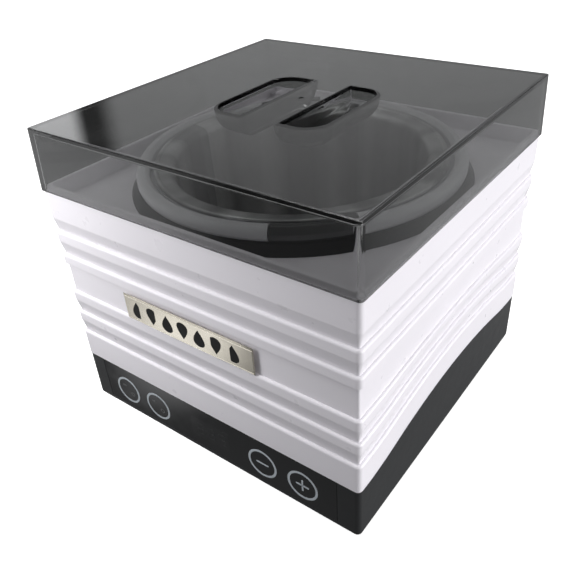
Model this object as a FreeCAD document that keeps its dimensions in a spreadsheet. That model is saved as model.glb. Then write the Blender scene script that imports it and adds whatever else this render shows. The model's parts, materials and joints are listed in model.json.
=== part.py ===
import FreeCAD, Part
import math
import os
import Sketcher

# Square wax warmer: a ribbed shell on a dark base, a removable round pot, and a smoked lid.
# Millimetres. The origin is the centre of the feet's underside, +Z is up, and -Y is the control side.

SIZES = {
    # lid
    "lid_width": 250,
    "lid_height": 43,
    "lid_wall": 3,
    "lid_top_wall": 3.5,
    "lid_draft": 2.2,
    "lid_corner": 2.5,
    "lid_gap": 0.2,
    "bar_width": 31,
    "cup_reach": 42.3,
    "cup_length": 82,
    "cup_depth": 16.5,
    "cup_wall": 2.5,
    "cup_corner": 15,
    "cup_round": 12,
    # ribbed shell
    "shell_width": 248,
    "shell_inside": 238,
    "shell_corner": 3.5,
    "shoulder": 182.5,
    "lip_width": 242.4,
    "lip_inside": 236,
    "lip_height": 4,
    "deck_top": 175,
    "deck_wall": 3,
    "deck_hole": 108,
    "rib_depth": 2,
    "rib_slope": 9.2,
    "rib_seat": 1.3,
    "rib_pitch": 18.4,
    "upper_ribs": 162.5,
    "lower_ribs": 94.3,
    "lower_pitch": 18.3,
    "slot_top": 125.5,
    "slot_foot": 102.2,
    "slot_slope": 0.2,
    "post_place": 110,
    "post_radius": 5,
    # base
    "base_width": 247.4,
    "base_top": 43,
    "base_wall": 3,
    "foot_proud": 2,
    "arch_rise": 11.6,
    "arch_half": 118,
    "arch_end": 35,
    "arch_slot": 5,
    "arch_fourth": 8.2,
    "arch_fifth": 10.4,
    # front panel and badge
    "panel_width": 215,
    "panel_foot": 6,
    "panel_wall": 3,
    "seam": 0.2,
    "key_height": 22,
    "badge_width": 112.4,
    "badge_height": 20.5,
    "badge_foot": 101.7,
    "badge_middle": -5.1,
    "badge_gap": 0.1,
    "badge_face": 0.85,
    "badge_bow": 0.35,
    # trim ring and well
    "trim_foot": 116.2,
    "trim_top": 180.5,
    "trim_shoulder": 110.2,
    "trim_bore": 98,
    "ledge_radius": 104.6,
    "ledge_top": 178.5,
    "trim_low": 170,
    "well_mouth": 90,
    "well_waist": 86,
    "well_waist_up": 72,
    "well_floor": 61.5,
    "well_floor_radius": 76,
    "well_wall": 1.5,
    "well_flange": 104.3,
    "flange_low": 179,
    "heater_low": 80,
    "heater_high": 140,
    "heater_wall": 2,
    "sleeve_inside": 95.5,
    "sleeve_outside": 104,
    "sleeve_low": 60,
    "sleeve_high": 165,
    # pot
    "pot_top": 189.6,
    "pot_mouth": 86.3,
    "pot_waist": 82.3,
    "pot_waist_up": 76,
    "pot_floor": 64,
    "pot_wall": 2,
    "pot_flange": 99.3,
    "collar_low": 181,
    "collar_top": 190.8,
    "collar_web": 186.4,
    "collar_inside": 102.2,
    "collar_outside": 111,
    "grip_turn": -50.2,
    "grip_half": 13.4,
    # inside the base
    "shield_low": 46,
    "shield_wall": 0.8,
    "shield_width": 200,
    "standoff_place": 85,
    "board_low": 11,
    "board_wall": 1.6,
    "board_width": 120,
    "board_front": 4,
    "board_back": 84,
    "foot_place": 98,
    "foot_radius": 9,
    "shield_bore": 12,
    "disc_bore": 18,
    "disc_edge": 84,
    "tower_bore": 28,
    "pilot_depth": 20,
    "board_post": 3.5,
    "board_edge": 6,
    "control_gap": 8.7,
    "control_width": 194,
    "control_foot": 8.5,
    "control_height": 31,
    "control_screw": 91,
    "spring_outside": 4.5,
    "spring_inside": 3.6,
    "inlet_middle": -60,
    "inlet_height": 22,
    "inlet_width": 50,
    "inlet_rise": 22.4,
    "inlet_flange": 2,
    "inlet_body": 27.4,
    "inlet_body_rise": 20,
    "inlet_body_depth": 26,
    "socket_width": 24,
    "socket_rise": 16.4,
    "socket_depth": 17,
    "ear_reach": 20,
    "pin_width": 2,
    "pin_rise": 4,
    "screw_radius": 1.5,
}


class Size:
    """A length that knows its value and the spreadsheet expression that drives it."""

    def __init__(self, value, text):
        self.value = float(value)
        self.text = text

    def __add__(self, other):
        other = to_size(other)
        return Size(self.value + other.value, f"({self.text} + {other.text})")

    def __sub__(self, other):
        other = to_size(other)
        return Size(self.value - other.value, f"({self.text} - {other.text})")

    def __mul__(self, other):
        other = to_size(other)
        return Size(self.value * other.value, f"({self.text} * {other.text})")

    def __truediv__(self, other):
        other = to_size(other)
        return Size(self.value / other.value, f"({self.text} / {other.text})")

    def __radd__(self, other):
        return to_size(other) + self

    def __rsub__(self, other):
        return to_size(other) - self

    def __rmul__(self, other):
        return to_size(other) * self

    def __neg__(self):
        return to_size(0) - self


def to_size(number):
    return number if isinstance(number, Size) else Size(number, f"({number})")


class Sizes:
    """Every alias of the spreadsheet as an attribute."""

    def __init__(self, values):
        for name, value in values.items():
            setattr(self, name, Size(value, f"dims.{name}"))


class Bend:
    """Marks the edge between two corners as an arc: side 1 puts its centre on the left, -1 on the right."""

    def __init__(self, radius, side):
        self.radius = to_size(radius)
        self.side = side


doc = FreeCAD.newDocument("wax_warmer")
sub_parts = []
S = Sizes(SIZES)
D = FreeCAD.Vector


def make_sheet():
    sheet = doc.addObject("Spreadsheet::Sheet", "dims")
    for row, (name, value) in enumerate(SIZES.items(), start=1):
        sheet.set(f"A{row}", name)
        sheet.set(f"B{row}", str(value))
        sheet.setAlias(f"B{row}", name)
    doc.recompute()


# ---------- helpers: bodies, sketches and features ----------

def keep(shape_object, label):
    """Marks an object as a finished sub-part under its node name."""
    shape_object.Label = label
    sub_parts.append(shape_object)
    return shape_object


def new_body(name):
    return doc.addObject("PartDesign::Body", name)


def new_sketch(body, name, role, offset=0):
    sketch = body.newObject("Sketcher::SketchObject", name)
    plane = next(item for item in body.Origin.OriginFeatures if item.Role == role)
    sketch.AttachmentSupport = (plane, [""])
    sketch.MapMode = "FlatFace"
    sketch.setExpression("AttachmentOffset.Base.z", to_size(offset).text)
    return sketch


def drive(sketch, kind, *where, size):
    index = sketch.addConstraint(Sketcher.Constraint(kind, *where, size.value))
    sketch.setExpression(f"Constraints[{index}]", size.text)


def arc_edge(start, end, bend):
    """The shorter arc of the bend's radius from start to end."""
    middle = (start + end) * 0.5
    chord = end - start
    left = D(-chord.y, chord.x, 0).normalize()
    reach = math.sqrt(max(bend.radius.value ** 2 - (chord.Length / 2) ** 2, 0))
    centre = middle + left * (bend.side * reach)
    through = centre - left * (bend.side * bend.radius.value)
    return Part.Arc(start, through, end)


def outline(sketch, items):
    """Closed outline of (across, up) corners, whose edges are lines or, after a Bend, arcs."""
    corners = []
    bends = {}
    for item in items:
        if isinstance(item, Bend):
            bends[len(corners) - 1] = item
        else:
            corners.append((to_size(item[0]), to_size(item[1])))
    points = [D(across.value, up.value, 0) for across, up in corners]
    edges = []
    for index, start in enumerate(points):
        end = points[(index + 1) % len(points)]
        if index not in bends:
            edges.append((sketch.addGeometry(Part.LineSegment(start, end), False), 1, 2))
            continue
        number = sketch.addGeometry(arc_edge(start, end, bends[index]), False)
        drive(sketch, "Radius", number, size=bends[index].radius)
        forward = sketch.getPoint(number, 1).distanceToPoint(start) < 1e-6
        edges.append((number, 1, 2) if forward else (number, 2, 1))
    for index, (number, first, last) in enumerate(edges):
        following, entry, _ = edges[(index + 1) % len(edges)]
        sketch.addConstraint(Sketcher.Constraint("Coincident", number, last, following, entry))
        drive(sketch, "DistanceX", -1, 1, number, first, size=corners[index][0])
        drive(sketch, "DistanceY", -1, 1, number, first, size=corners[index][1])


def mirrored(items):
    """The same outline on the other side of the vertical axis."""
    return [item if isinstance(item, Bend) else (-item[0], item[1]) for item in reversed(items)]


def rectangle(sketch, left, low, right, high):
    outline(sketch, [(left, low), (right, low), (right, high), (left, high)])


def rounded_square(sketch, width, radius):
    edge = width / 2
    flat = edge - radius
    turn = Bend(radius, 1)
    outline(sketch, [(-flat, -edge), (flat, -edge), turn, (edge, -flat), (edge, flat), turn,
                     (flat, edge), (-flat, edge), turn, (-edge, flat), (-edge, -flat), turn])


def circle(sketch, across, up, radius):
    across, up, radius = to_size(across), to_size(up), to_size(radius)
    ring = Part.Circle(D(across.value, up.value, 0), D(0, 0, 1), radius.value)
    number = sketch.addGeometry(ring, False)
    drive(sketch, "Radius", number, size=radius)
    drive(sketch, "DistanceX", -1, 1, number, 3, size=across)
    drive(sketch, "DistanceY", -1, 1, number, 3, size=up)


def feature(body, kind, sketch, length, through=False):
    """Pad or Pocket of a sketch: from its plane, or to both sides of it with through."""
    made = body.newObject(f"PartDesign::{kind}", f"{sketch.Name}_{kind.lower()}")
    made.Profile = sketch
    made.SideType = "Symmetric" if through else "One side"
    made.setExpression("Length", to_size(length).text)
    doc.recompute()
    return made


def pocket(body, sketch, length, through=False):
    """A Pocket that has to take material away."""
    before = body.Tip.Shape.Volume
    made = feature(body, "Pocket", sketch, length, through)
    if body.Tip.Shape.Volume > before - 0.1:
        raise ValueError(f"{made.Name} cuts nothing")
    return made


def revolve(name, items):
    """Body turned about the vertical axis from an outline of (radius, height) corners."""
    body = new_body(name)
    section = new_sketch(body, f"{name}_section", "XZ_Plane")
    outline(section, items)
    turned = body.newObject("PartDesign::Revolution", f"{name}_turned")
    turned.Profile = section
    turned.ReferenceAxis = (section, ["V_Axis"])
    turned.Angle = 360
    doc.recompute()
    return body


# ---------- helpers: primitives and booleans ----------

def locate(item, place):
    for letter, size in zip("xyz", place):
        item.setExpression(f"Placement.Base.{letter}", to_size(size).text)
    return item


def box(name, place, extent):
    made = doc.addObject("Part::Box", name)
    for label, size in zip(("Length", "Width", "Height"), extent):
        made.setExpression(label, to_size(size).text)
    return locate(made, place)


AXES = {
    "up": FreeCAD.Rotation(),
    "back": FreeCAD.Rotation(D(1, 0, 0), -90),
    "right": FreeCAD.Rotation(D(0, 1, 0), 90),
}


def cylinder(name, place, radius, length, axis="up"):
    """Round bar that starts at place and runs up, to the back or to the right."""
    made = doc.addObject("Part::Cylinder", name)
    made.setExpression("Radius", to_size(radius).text)
    made.setExpression("Height", to_size(length).text)
    made.Placement = FreeCAD.Placement(D(), AXES[axis])
    return locate(made, place)


def cut(name, base, tools):
    made = doc.addObject("Part::Cut", name)
    made.Base = base
    made.Tool = tools[0] if len(tools) == 1 else fuse(f"{name}_tools", tools)
    return made


def fuse(name, items):
    made = doc.addObject("Part::MultiFuse", name)
    made.Shapes = items
    return made


def group(name, items):
    """Identical separate solids in one node."""
    made = doc.addObject("Part::Compound", name)
    made.Links = items
    return made


def corners_of(reach):
    """The four points at plus and minus reach on both axes."""
    return [(reach * side, reach * end) for side in (-1, 1) for end in (-1, 1)]


def up_screw(name, place, head, shank):
    """Pan-head screw driven upwards: head is (radius, height), shank is (radius, length)."""
    across, deep, low = place
    return fuse(name, [
        cylinder(f"{name}_head", place, head[0], head[1]),
        cylinder(f"{name}_shank", (across, deep, low + head[1]), shank[0], shank[1]),
    ])


def down_screw(name, place, head, shank):
    """Pan-head screw driven downwards, whose head sits on place."""
    across, deep, low = place
    return fuse(name, [
        cylinder(f"{name}_head", place, head[0], head[1]),
        cylinder(f"{name}_shank", (across, deep, low - shank[1]), shank[0], shank[1]),
    ])


def wire(points, radius):
    """Round lead along straight runs joined by tangent arcs."""
    points = [D(*point) for point in points]
    edges = []
    start = points[0]
    for before, corner, after in zip(points, points[1:], points[2:]):
        come = (corner - before).normalize()
        leave = (after - corner).normalize()
        turn = come.getAngle(leave)
        setback = 0.45 * min(before.distanceToPoint(corner), corner.distanceToPoint(after))
        enter = corner - come * setback
        exit_point = corner + leave * setback
        bisector = (leave - come).normalize()
        bend_radius = setback / math.tan(turn / 2)
        apex = corner + bisector * (bend_radius * (1 / math.cos(turn / 2) - 1))
        edges.append(Part.LineSegment(start, enter).toShape())
        edges.append(Part.Arc(enter, apex, exit_point).toShape())
        start = exit_point
    edges.append(Part.LineSegment(start, points[-1]).toShape())
    path = Part.Wire(edges)
    first_run = points[1] - points[0]
    section = Part.Wire(Part.makeCircle(radius, points[0], first_run))
    return path.makePipeShell([section], True, True)


def shape_feature(name, shape):
    made = doc.addObject("Part::Feature", name)
    made.Shape = shape
    return keep(made, name)


# ---------- casing ----------

def arch(base_line, rise):
    """Corners of the arched seam on a side wall, from the front end to the back end."""
    half, end = S.arch_half, S.arch_end
    spread = (half * half + rise * rise) / (2 * rise * half)
    knee = base_line + rise * end / half
    hollow = Bend(end * spread, 1)
    crown = Bend((half - end) * spread, -1)
    return [(-half, base_line), hollow, (end - half, knee), crown, (half - end, knee), hollow,
            (half, base_line)]


def groove(face, top, slope, seat, rounding):
    """Section of a groove: slopes in from top, and steps out again over a rounded rib edge."""
    inner = face - S.rib_depth
    seat_foot = top - slope - seat
    return [(face + 1, top), (face, top), (inner, top - slope), (inner, seat_foot),
            Bend(rounding, -1), (face, seat_foot - rounding), (face + 1, seat_foot - rounding)]


def rib_grooves(face):
    """The four grooves between the shell's ribs, from the top, with their rise on the side walls."""
    tops = ((S.upper_ribs, 0), (S.upper_ribs - S.rib_pitch, 0), (S.lower_ribs, S.arch_fourth),
            (S.lower_ribs - S.lower_pitch, S.arch_fifth))
    return [(groove(face, top, S.rib_slope, S.rib_seat, S.rib_depth), rise) for top, rise in tops]


def slot(face, top, foot):
    """Section of the wide slot, or of a part of it: square at the top, rounded at the foot."""
    return groove(face, top, S.slot_slope, top - foot - S.slot_slope, S.rib_depth)


def side_grooves(face):
    """Grooves of the side walls. The slot is cut there in two overlapping parts, as only its foot arches."""
    part = (S.slot_top - S.slot_foot) * 0.6
    return rib_grooves(face) + [(slot(face, S.slot_top, S.slot_top - part), 0),
                                (slot(face, S.slot_foot + part, S.slot_foot), S.arch_slot)]


def bowed_groove(body, number, section, rise):
    """Cuts one groove into the right side wall along its arched path."""
    edge = S.shell_width / 2
    profile = new_sketch(body, f"side_groove_{number}", "XZ_Plane", edge)
    outline(profile, section)
    path = new_sketch(body, f"side_path_{number}", "YZ_Plane", edge)
    half, end = edge, S.arch_end
    spread = (half * half + rise * rise) / (2 * rise * half)
    points = [(-half, 0), (end - half, rise * end / half), (half - end, rise * end / half), (half, 0)]
    bends = [Bend(end * spread, 1), Bend((half - end) * spread, -1), Bend(end * spread, 1)]
    open_path(path, points, bends)
    pipe = body.newObject("PartDesign::SubtractivePipe", f"side_cut_{number}")
    pipe.Profile = profile
    pipe.Spine = (path, ["Edge1", "Edge2", "Edge3"])
    doc.recompute()
    return pipe


def open_path(sketch, corners, bends):
    """Open run of arcs through the corners."""
    sizes = [(to_size(across), to_size(up)) for across, up in corners]
    points = [D(across.value, up.value, 0) for across, up in sizes]
    last = None
    for index, bend in enumerate(bends):
        number = sketch.addGeometry(arc_edge(points[index], points[index + 1], bend), False)
        drive(sketch, "Radius", number, size=bend.radius)
        forward = sketch.getPoint(number, 1).distanceToPoint(points[index]) < 1e-6
        first, final = (1, 2) if forward else (2, 1)
        drive(sketch, "DistanceX", -1, 1, number, first, size=sizes[index][0])
        drive(sketch, "DistanceY", -1, 1, number, first, size=sizes[index][1])
        if last:
            sketch.addConstraint(Sketcher.Constraint("Coincident", *last, number, first))
        last = (number, final)
    drive(sketch, "DistanceX", -1, 1, *last, size=sizes[-1][0])
    drive(sketch, "DistanceY", -1, 1, *last, size=sizes[-1][1])


def housing_shell():
    """Ribbed outer shell, moulded in one piece with its lip, sunken deck and screw posts."""
    body = new_body("housing_shell")
    edge = S.shell_width / 2
    deck_low = S.deck_top - S.deck_wall
    lip_top = S.shoulder + S.lip_height
    walls = new_sketch(body, "walls", "XY_Plane", S.base_top)
    rounded_square(walls, S.shell_width, S.shell_corner)
    feature(body, "Pad", walls, S.shoulder - S.base_top)
    lip = new_sketch(body, "lip", "XY_Plane", S.shoulder)
    rounded_square(lip, S.lip_width, S.shell_corner)
    feature(body, "Pad", lip, S.lip_height)
    room = new_sketch(body, "room", "XY_Plane", deck_low)
    rounded_square(room, S.shell_inside, S.shell_corner)
    pocket(body, room, deck_low - S.base_top)
    tray = new_sketch(body, "tray", "XY_Plane", lip_top)
    rounded_square(tray, S.lip_inside, S.shell_corner)
    pocket(body, tray, lip_top - S.deck_top)
    mouth = new_sketch(body, "mouth", "XY_Plane", S.deck_top)
    circle(mouth, 0, 0, S.deck_hole)
    pocket(body, mouth, S.deck_wall)
    front_back = new_sketch(body, "front_back_grooves", "YZ_Plane")
    for section in [section for section, _ in rib_grooves(edge)] + [slot(edge, S.slot_top, S.slot_foot)]:
        outline(front_back, section)
        outline(front_back, mirrored(section))
    pocket(body, front_back, S.shell_width + 2, through=True)
    sides = new_sketch(body, "side_grooves", "XZ_Plane")
    for section, rise in side_grooves(edge):
        if not rise:
            outline(sides, section)
            outline(sides, mirrored(section))
    pocket(body, sides, S.shell_width + 2, through=True)
    pipes = [bowed_groove(body, number, section, rise)
             for number, (section, rise) in enumerate(side_grooves(edge)) if rise]
    twin = body.newObject("PartDesign::Mirrored", "left_side_cuts")
    twin.Originals = pipes
    twin.MirrorPlane = (next(item for item in body.Origin.OriginFeatures if item.Role == "YZ_Plane"), [""])
    body.Tip = twin
    doc.recompute()
    seam = new_sketch(body, "arched_seam", "YZ_Plane")
    below = S.base_top - 1
    outline(seam, arch(S.base_top, S.arch_rise) + [(S.arch_half, below), (-S.arch_half, below)])
    pocket(body, seam, S.shell_width + 2, through=True)
    posts = new_sketch(body, "posts", "XY_Plane", S.base_top)
    pilots = new_sketch(body, "pilots", "XY_Plane", S.base_top + S.pilot_depth)
    for across, deep in corners_of(S.post_place):
        circle(posts, across, deep, S.post_radius)
        circle(pilots, across, deep, S.screw_radius)
    feature(body, "Pad", posts, deck_low - S.base_top)
    pocket(body, pilots, S.pilot_depth)
    holes = new_sketch(body, "trim_screw_holes", "XY_Plane", S.deck_top)
    for across, deep in trim_screw_places():
        circle(holes, across, deep, S.screw_radius)
    pocket(body, holes, S.deck_wall)
    return keep(body, "housing_shell")


def trim_screw_places():
    """Six places on the ring of screws that pull the trim ring down on the deck."""
    radius = (S.deck_hole + S.trim_foot) / 2
    turns = [math.radians(30 + 60 * step) for step in range(6)]
    return [(radius * round(math.cos(turn), 6), radius * round(math.sin(turn), 6)) for turn in turns]


def base_tray():
    """Dark base with arched side walls, screw towers, board posts, vents and the inlet's opening."""
    body = new_body("base_tray")
    crown = S.base_top + S.arch_rise
    outer_edge = S.shell_width / 2 + 1
    floor_top = S.foot_proud + S.base_wall
    block = new_sketch(body, "block", "XY_Plane", S.foot_proud)
    rounded_square(block, S.base_width, S.shell_corner)
    feature(body, "Pad", block, crown - S.foot_proud)
    seam = new_sketch(body, "base_seam", "YZ_Plane")
    outline(seam, [(-outer_edge, S.base_top)] + arch(S.base_top, S.arch_rise)
            + [(outer_edge, S.base_top), (outer_edge, crown + 1), (-outer_edge, crown + 1)])
    pocket(body, seam, S.shell_width + 2, through=True)
    room = new_sketch(body, "base_room", "XY_Plane", crown)
    rounded_square(room, S.base_width - 2 * S.base_wall, S.shell_corner)
    pocket(body, room, crown - floor_top)
    window = new_sketch(body, "panel_window", "XZ_Plane", S.base_width / 2)
    reach = S.panel_width / 2 + S.seam
    rectangle(window, -reach, S.panel_foot - S.seam, reach, S.base_top + 1)
    pocket(body, window, S.base_wall)
    towers = new_sketch(body, "towers", "XY_Plane", floor_top)
    bores = new_sketch(body, "tower_bores", "XY_Plane", S.base_top)
    heads = new_sketch(body, "tower_heads", "XY_Plane", S.foot_proud + S.tower_bore)
    for across, deep in corners_of(S.post_place):
        circle(towers, across, deep, S.post_radius + 0.5)
        circle(bores, across, deep, S.screw_radius + 0.3)
        circle(heads, across, deep, S.screw_radius + 2.5)
    feature(body, "Pad", towers, S.base_top - floor_top)
    pocket(body, bores, S.base_top - S.foot_proud)
    pocket(body, heads, S.tower_bore)
    posts = new_sketch(body, "board_posts", "XY_Plane", floor_top)
    pilots = new_sketch(body, "board_pilots", "XY_Plane", S.board_low)
    for across, deep in board_screw_places():
        circle(posts, across, deep, S.board_post)
        circle(pilots, across, deep, S.screw_radius)
    feature(body, "Pad", posts, S.board_low - floor_top)
    pocket(body, pilots, S.board_low - floor_top)
    pad = new_sketch(body, "inlet_pad", "XZ_Plane", -(S.base_width / 2 - S.base_wall))
    centred(pad, S.inlet_width + 8, S.inlet_rise + 7.6)
    feature(body, "Pad", pad, S.base_wall)
    rebate = new_sketch(body, "inlet_rebate", "XZ_Plane", -(S.base_width / 2 - S.inlet_flange))
    centred(rebate, S.inlet_width + 0.6, S.inlet_rise + 0.6)
    pocket(body, rebate, 3)
    throat = new_sketch(body, "inlet_throat", "XZ_Plane", -(S.base_width / 2 - 8))
    centred(throat, S.inlet_body + 0.6, S.inlet_body_rise + 0.4)
    for side in (-1, 1):
        circle(throat, S.inlet_middle + S.ear_reach * side, S.inlet_height, S.screw_radius)
    pocket(body, throat, 10)
    vents = new_sketch(body, "vents", "XY_Plane", floor_top)
    for row in range(5):
        for side in (-1, 1):
            low = -70 + 9 * row
            rectangle(vents, side * 38 - 17, low, side * 38 + 17, low + 3)
    for across, deep in corners_of(S.foot_place):
        circle(vents, across, deep, 3)
    for across, deep in corners_of(S.standoff_place):
        circle(vents, across, deep, S.screw_radius)
    pocket(body, vents, S.base_wall)
    return keep(body, "base_tray")


def centred(sketch, width, rise):
    """Rectangle about the inlet's middle."""
    rectangle(sketch, S.inlet_middle - width / 2, S.inlet_height - rise / 2,
              S.inlet_middle + width / 2, S.inlet_height + rise / 2)


def board_screw_places():
    reach, edge = S.board_width / 2 - S.board_edge, S.board_edge
    return [(reach * side, deep) for side in (-1, 1) for deep in (S.board_front + edge, S.board_back - edge)]


def control_fascia():
    """Glossy touch panel, flush in the base's front wall, with four bosses for the control board."""
    front = -(S.base_width / 2)
    plate = box("fascia_plate", (-(S.panel_width / 2), front, S.panel_foot),
                (S.panel_width, S.panel_wall, S.base_top - S.seam - S.panel_foot))
    bosses = [cylinder("fascia_boss", (across, front + S.panel_wall, up), 3, S.control_gap, "back")
              for across, up in control_screw_places()]
    pilots = [cylinder("fascia_pilot", (across, front + S.panel_wall + 2, up), 1, S.control_gap - 2, "back")
              for across, up in control_screw_places()]
    return keep(cut("fascia", fuse("fascia_body", [plate] + bosses), pilots), "control_fascia")


def control_screw_places():
    low = S.control_foot + 4
    return [(S.control_screw * side, up) for side in (-1, 1) for up in (low, low + S.control_height - 8)]


def nameplate():
    """Metal badge: a thin face, a little bowed outwards, on a pad that fills the shell's wide slot."""
    body = new_body("nameplate")
    back = -(S.shell_width / 2 - S.rib_depth)
    face = -(S.shell_width / 2 + S.badge_gap)
    reach = S.badge_width / 2
    middle = S.badge_middle
    pad = new_sketch(body, "badge_pad", "XY_Plane", S.slot_foot + S.badge_gap)
    rectangle(pad, middle - reach + 2, face, middle + reach - 2, back)
    feature(body, "Pad", pad, S.badge_foot + S.badge_height - S.slot_foot - 6 * S.badge_gap)
    plan = new_sketch(body, "badge_plan", "XY_Plane", S.badge_foot)
    edge = face - S.badge_face + S.badge_bow
    outline(plan, [(middle + reach, face), (middle - reach, face), (middle - reach, edge),
                   Bend((reach * reach + S.badge_bow * S.badge_bow) / (2 * S.badge_bow), 1),
                   (middle + reach, edge)])
    feature(body, "Pad", plan, S.badge_height)
    return keep(body, "nameplate")


def rubber_feet():
    feet = []
    for across, deep in corners_of(S.foot_place):
        feet.append(fuse("foot", [
            cylinder("foot_disc", (across, deep, 0), S.foot_radius, S.foot_proud),
            cylinder("foot_stem", (across, deep, S.foot_proud), 3, S.base_wall),
            cylinder("foot_barb", (across, deep, S.foot_proud + S.base_wall), 3.8, 1.5),
        ]))
    keep(group("feet", feet), "rubber_feet")


def housing_screws():
    screws = [up_screw("housing_screw", (across, deep, S.foot_proud + 25), (3.5, 3), (S.screw_radius, 30))
              for across, deep in corners_of(S.post_place)]
    keep(group("housing_screw_set", screws), "housing_screws")


# ---------- lid ----------

def finger_cup(name, top, depth, grow, rounding):
    """D-shaped block beside the grip bar, rounded along its bottom except on the bar's side."""
    body = new_body(name)
    near = S.bar_width / 2 - grow
    far = S.cup_reach + grow
    reach = S.cup_length / 2 + grow
    corner = S.cup_corner + grow
    plan = new_sketch(body, f"{name}_plan", "XY_Plane", top - depth)
    outline(plan, [(near, -reach), (far - corner, -reach), Bend(corner, 1), (far, corner - reach),
                   (far, reach - corner), Bend(corner, 1), (far - corner, reach), (near, reach)])
    block = feature(body, "Pad", plan, depth)
    low = (top - depth).value
    names = [f"Edge{number}" for number, line in enumerate(block.Shape.Edges, start=1)
             if line.BoundBox.ZMax < low + 0.01 and line.BoundBox.XMax > near.value + 0.01]
    bottom = body.newObject("PartDesign::Fillet", f"{name}_round")
    bottom.Base = (block, names)
    bottom.setExpression("Radius", rounding.text)
    doc.recompute()
    return body


def mirror(name, source):
    made = doc.addObject("Part::Mirroring", name)
    made.Source = source
    made.Normal = D(1, 0, 0)
    return made


def lid_cover():
    """Smoked lid: a drafted open box, with two finger cups either side of a grip bar."""
    low = S.shoulder + S.lid_gap
    top = low + S.lid_height
    body = new_body("lid_box")
    plan = new_sketch(body, "lid_plan", "XY_Plane", low)
    rounded_square(plan, S.lid_width, S.lid_corner)
    walls = feature(body, "Pad", plan, S.lid_height)
    walls.setExpression("TaperAngle", (-S.lid_draft).text)
    room = new_sketch(body, "lid_room", "XY_Plane", low)
    rounded_square(room, S.lid_width - 2 * S.lid_wall, S.lid_corner)
    hollow = body.newObject("PartDesign::Pocket", "lid_hollow")
    hollow.Profile = room
    hollow.Reversed = True
    hollow.setExpression("Length", (S.lid_height - S.lid_top_wall).text)
    hollow.setExpression("TaperAngle", (-S.lid_draft).text)
    doc.recompute()
    skin = finger_cup("cup_skin", top - 1, S.cup_depth + S.cup_wall - 1, S.cup_wall, S.cup_round + S.cup_wall)
    hole = finger_cup("cup_hole", top + 1, S.cup_depth + 1, to_size(0), S.cup_round)
    solid = fuse("lid_solid", [body, skin, mirror("cup_skin_left", skin)])
    return keep(cut("lid", solid, [hole, mirror("cup_hole_left", hole)]), "lid_cover")


# ---------- pot ----------

def wax_pot():
    """Spun aluminium pot with a flat flange and a rolled edge."""
    wall = S.pot_wall
    waist = S.pot_waist
    foot = waist - 10
    floor_low = S.pot_floor - wall
    flange_low = S.pot_top - wall
    rim = S.pot_flange
    body = revolve("wax_pot", [
        (0, floor_low), (foot + wall, floor_low), Bend(13, 1), (waist + wall, S.pot_waist_up - 2),
        (S.pot_mouth + wall, flange_low), (rim - 4.3, flange_low), (rim - 4.3, flange_low - 1.2),
        (rim - 1.3, flange_low - 1.2), Bend(1.6, 1), (rim, flange_low + 0.4), Bend(2, 1),
        (rim - 1.7, S.pot_top), (S.pot_mouth + 1.5, S.pot_top), Bend(1.6, 1),
        (S.pot_mouth, S.pot_top - 1.5), (waist, S.pot_waist_up), Bend(14, -1), (foot, S.pot_floor),
        (0, S.pot_floor)])
    return keep(body, "wax_pot")


def collar_section():
    """Outline of the pot's collar: a thick rounded ring on a thin web under the pot's flange."""
    low, top, web = S.collar_low, S.collar_top, S.collar_web
    inside, outside = S.collar_inside, S.collar_outside
    return [(S.pot_mouth + 3.2, low), (outside - 3.5, low), Bend(3.5, 1), (outside, low + 3.5),
            (outside, top - 4), Bend(4, 1), (outside - 4, top), (inside + 2.8, top), Bend(2.8, 1),
            (inside, top - 2.8), (inside, web), (S.pot_mouth + 3.2, web)]


def grip_wedge(name, turn, half):
    """Sector that picks a grip's stretch out of the collar's raised ring."""
    sector = doc.addObject("Part::Cylinder", name)
    sector.setExpression("Radius", (S.collar_outside + 10).text)
    sector.setExpression("Height", (S.collar_top - S.collar_low + 2).text)
    sector.setExpression("Angle", (2 * half).text)
    sector.setExpression("Placement.Base.z", (S.collar_low - 1).text)
    sector.setExpression("Placement.Rotation.Angle", (turn - half).text)
    bore = cylinder(f"{name}_bore", (0, 0, S.collar_low - 2), S.collar_inside - 1, 20)
    return cut(f"{name}_sector", sector, [bore])


def pot_collar_and_grips():
    """Heat-proof collar of the pot, with two dark grips let into it opposite each other."""
    turns = (S.grip_turn, S.grip_turn + 180)
    ring = revolve("collar_ring", collar_section())
    wedges = [grip_wedge(f"collar_gap_{number}", turn, S.grip_half) for number, turn in enumerate(turns)]
    keep(cut("collar", ring, wedges), "pot_collar")
    for number, (label, turn) in enumerate(zip(("front_grip", "rear_grip"), turns)):
        blank = revolve(f"grip_ring_{number}", collar_section())
        grip = doc.addObject("Part::MultiCommon", f"grip_{number}")
        grip.Shapes = [blank, grip_wedge(f"grip_sector_{number}", turn, S.grip_half - 0.15)]
        keep(grip, label)


# ---------- well, heater and insulation ----------

def well_trim_ring():
    """Dark ring that lines the deck's mouth, carries the well and guards the hot edge."""
    flange = S.deck_hole - 0.4
    body = revolve("well_trim_ring", [
        (S.trim_bore, S.trim_low), (flange, S.trim_low), (flange, S.deck_top), (S.trim_foot, S.deck_top),
        (S.trim_shoulder, S.trim_top), (S.ledge_radius, S.trim_top), (S.ledge_radius, S.ledge_top),
        (S.trim_bore, S.ledge_top)])
    holes = new_sketch(body, "trim_pilots", "XY_Plane", S.deck_top + 3)
    for across, deep in trim_screw_places():
        circle(holes, across, deep, S.screw_radius - 0.3)
    pocket(body, holes, 3)
    return keep(body, "well_trim_ring")


def trim_screws():
    low = S.deck_top - S.deck_wall - 2
    screws = [up_screw("trim_screw", (across, deep, low), (2.6, 2), (S.screw_radius - 0.3, S.deck_wall + 2.8))
              for across, deep in trim_screw_places()]
    keep(group("trim_screw_set", screws), "trim_screws")


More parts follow.
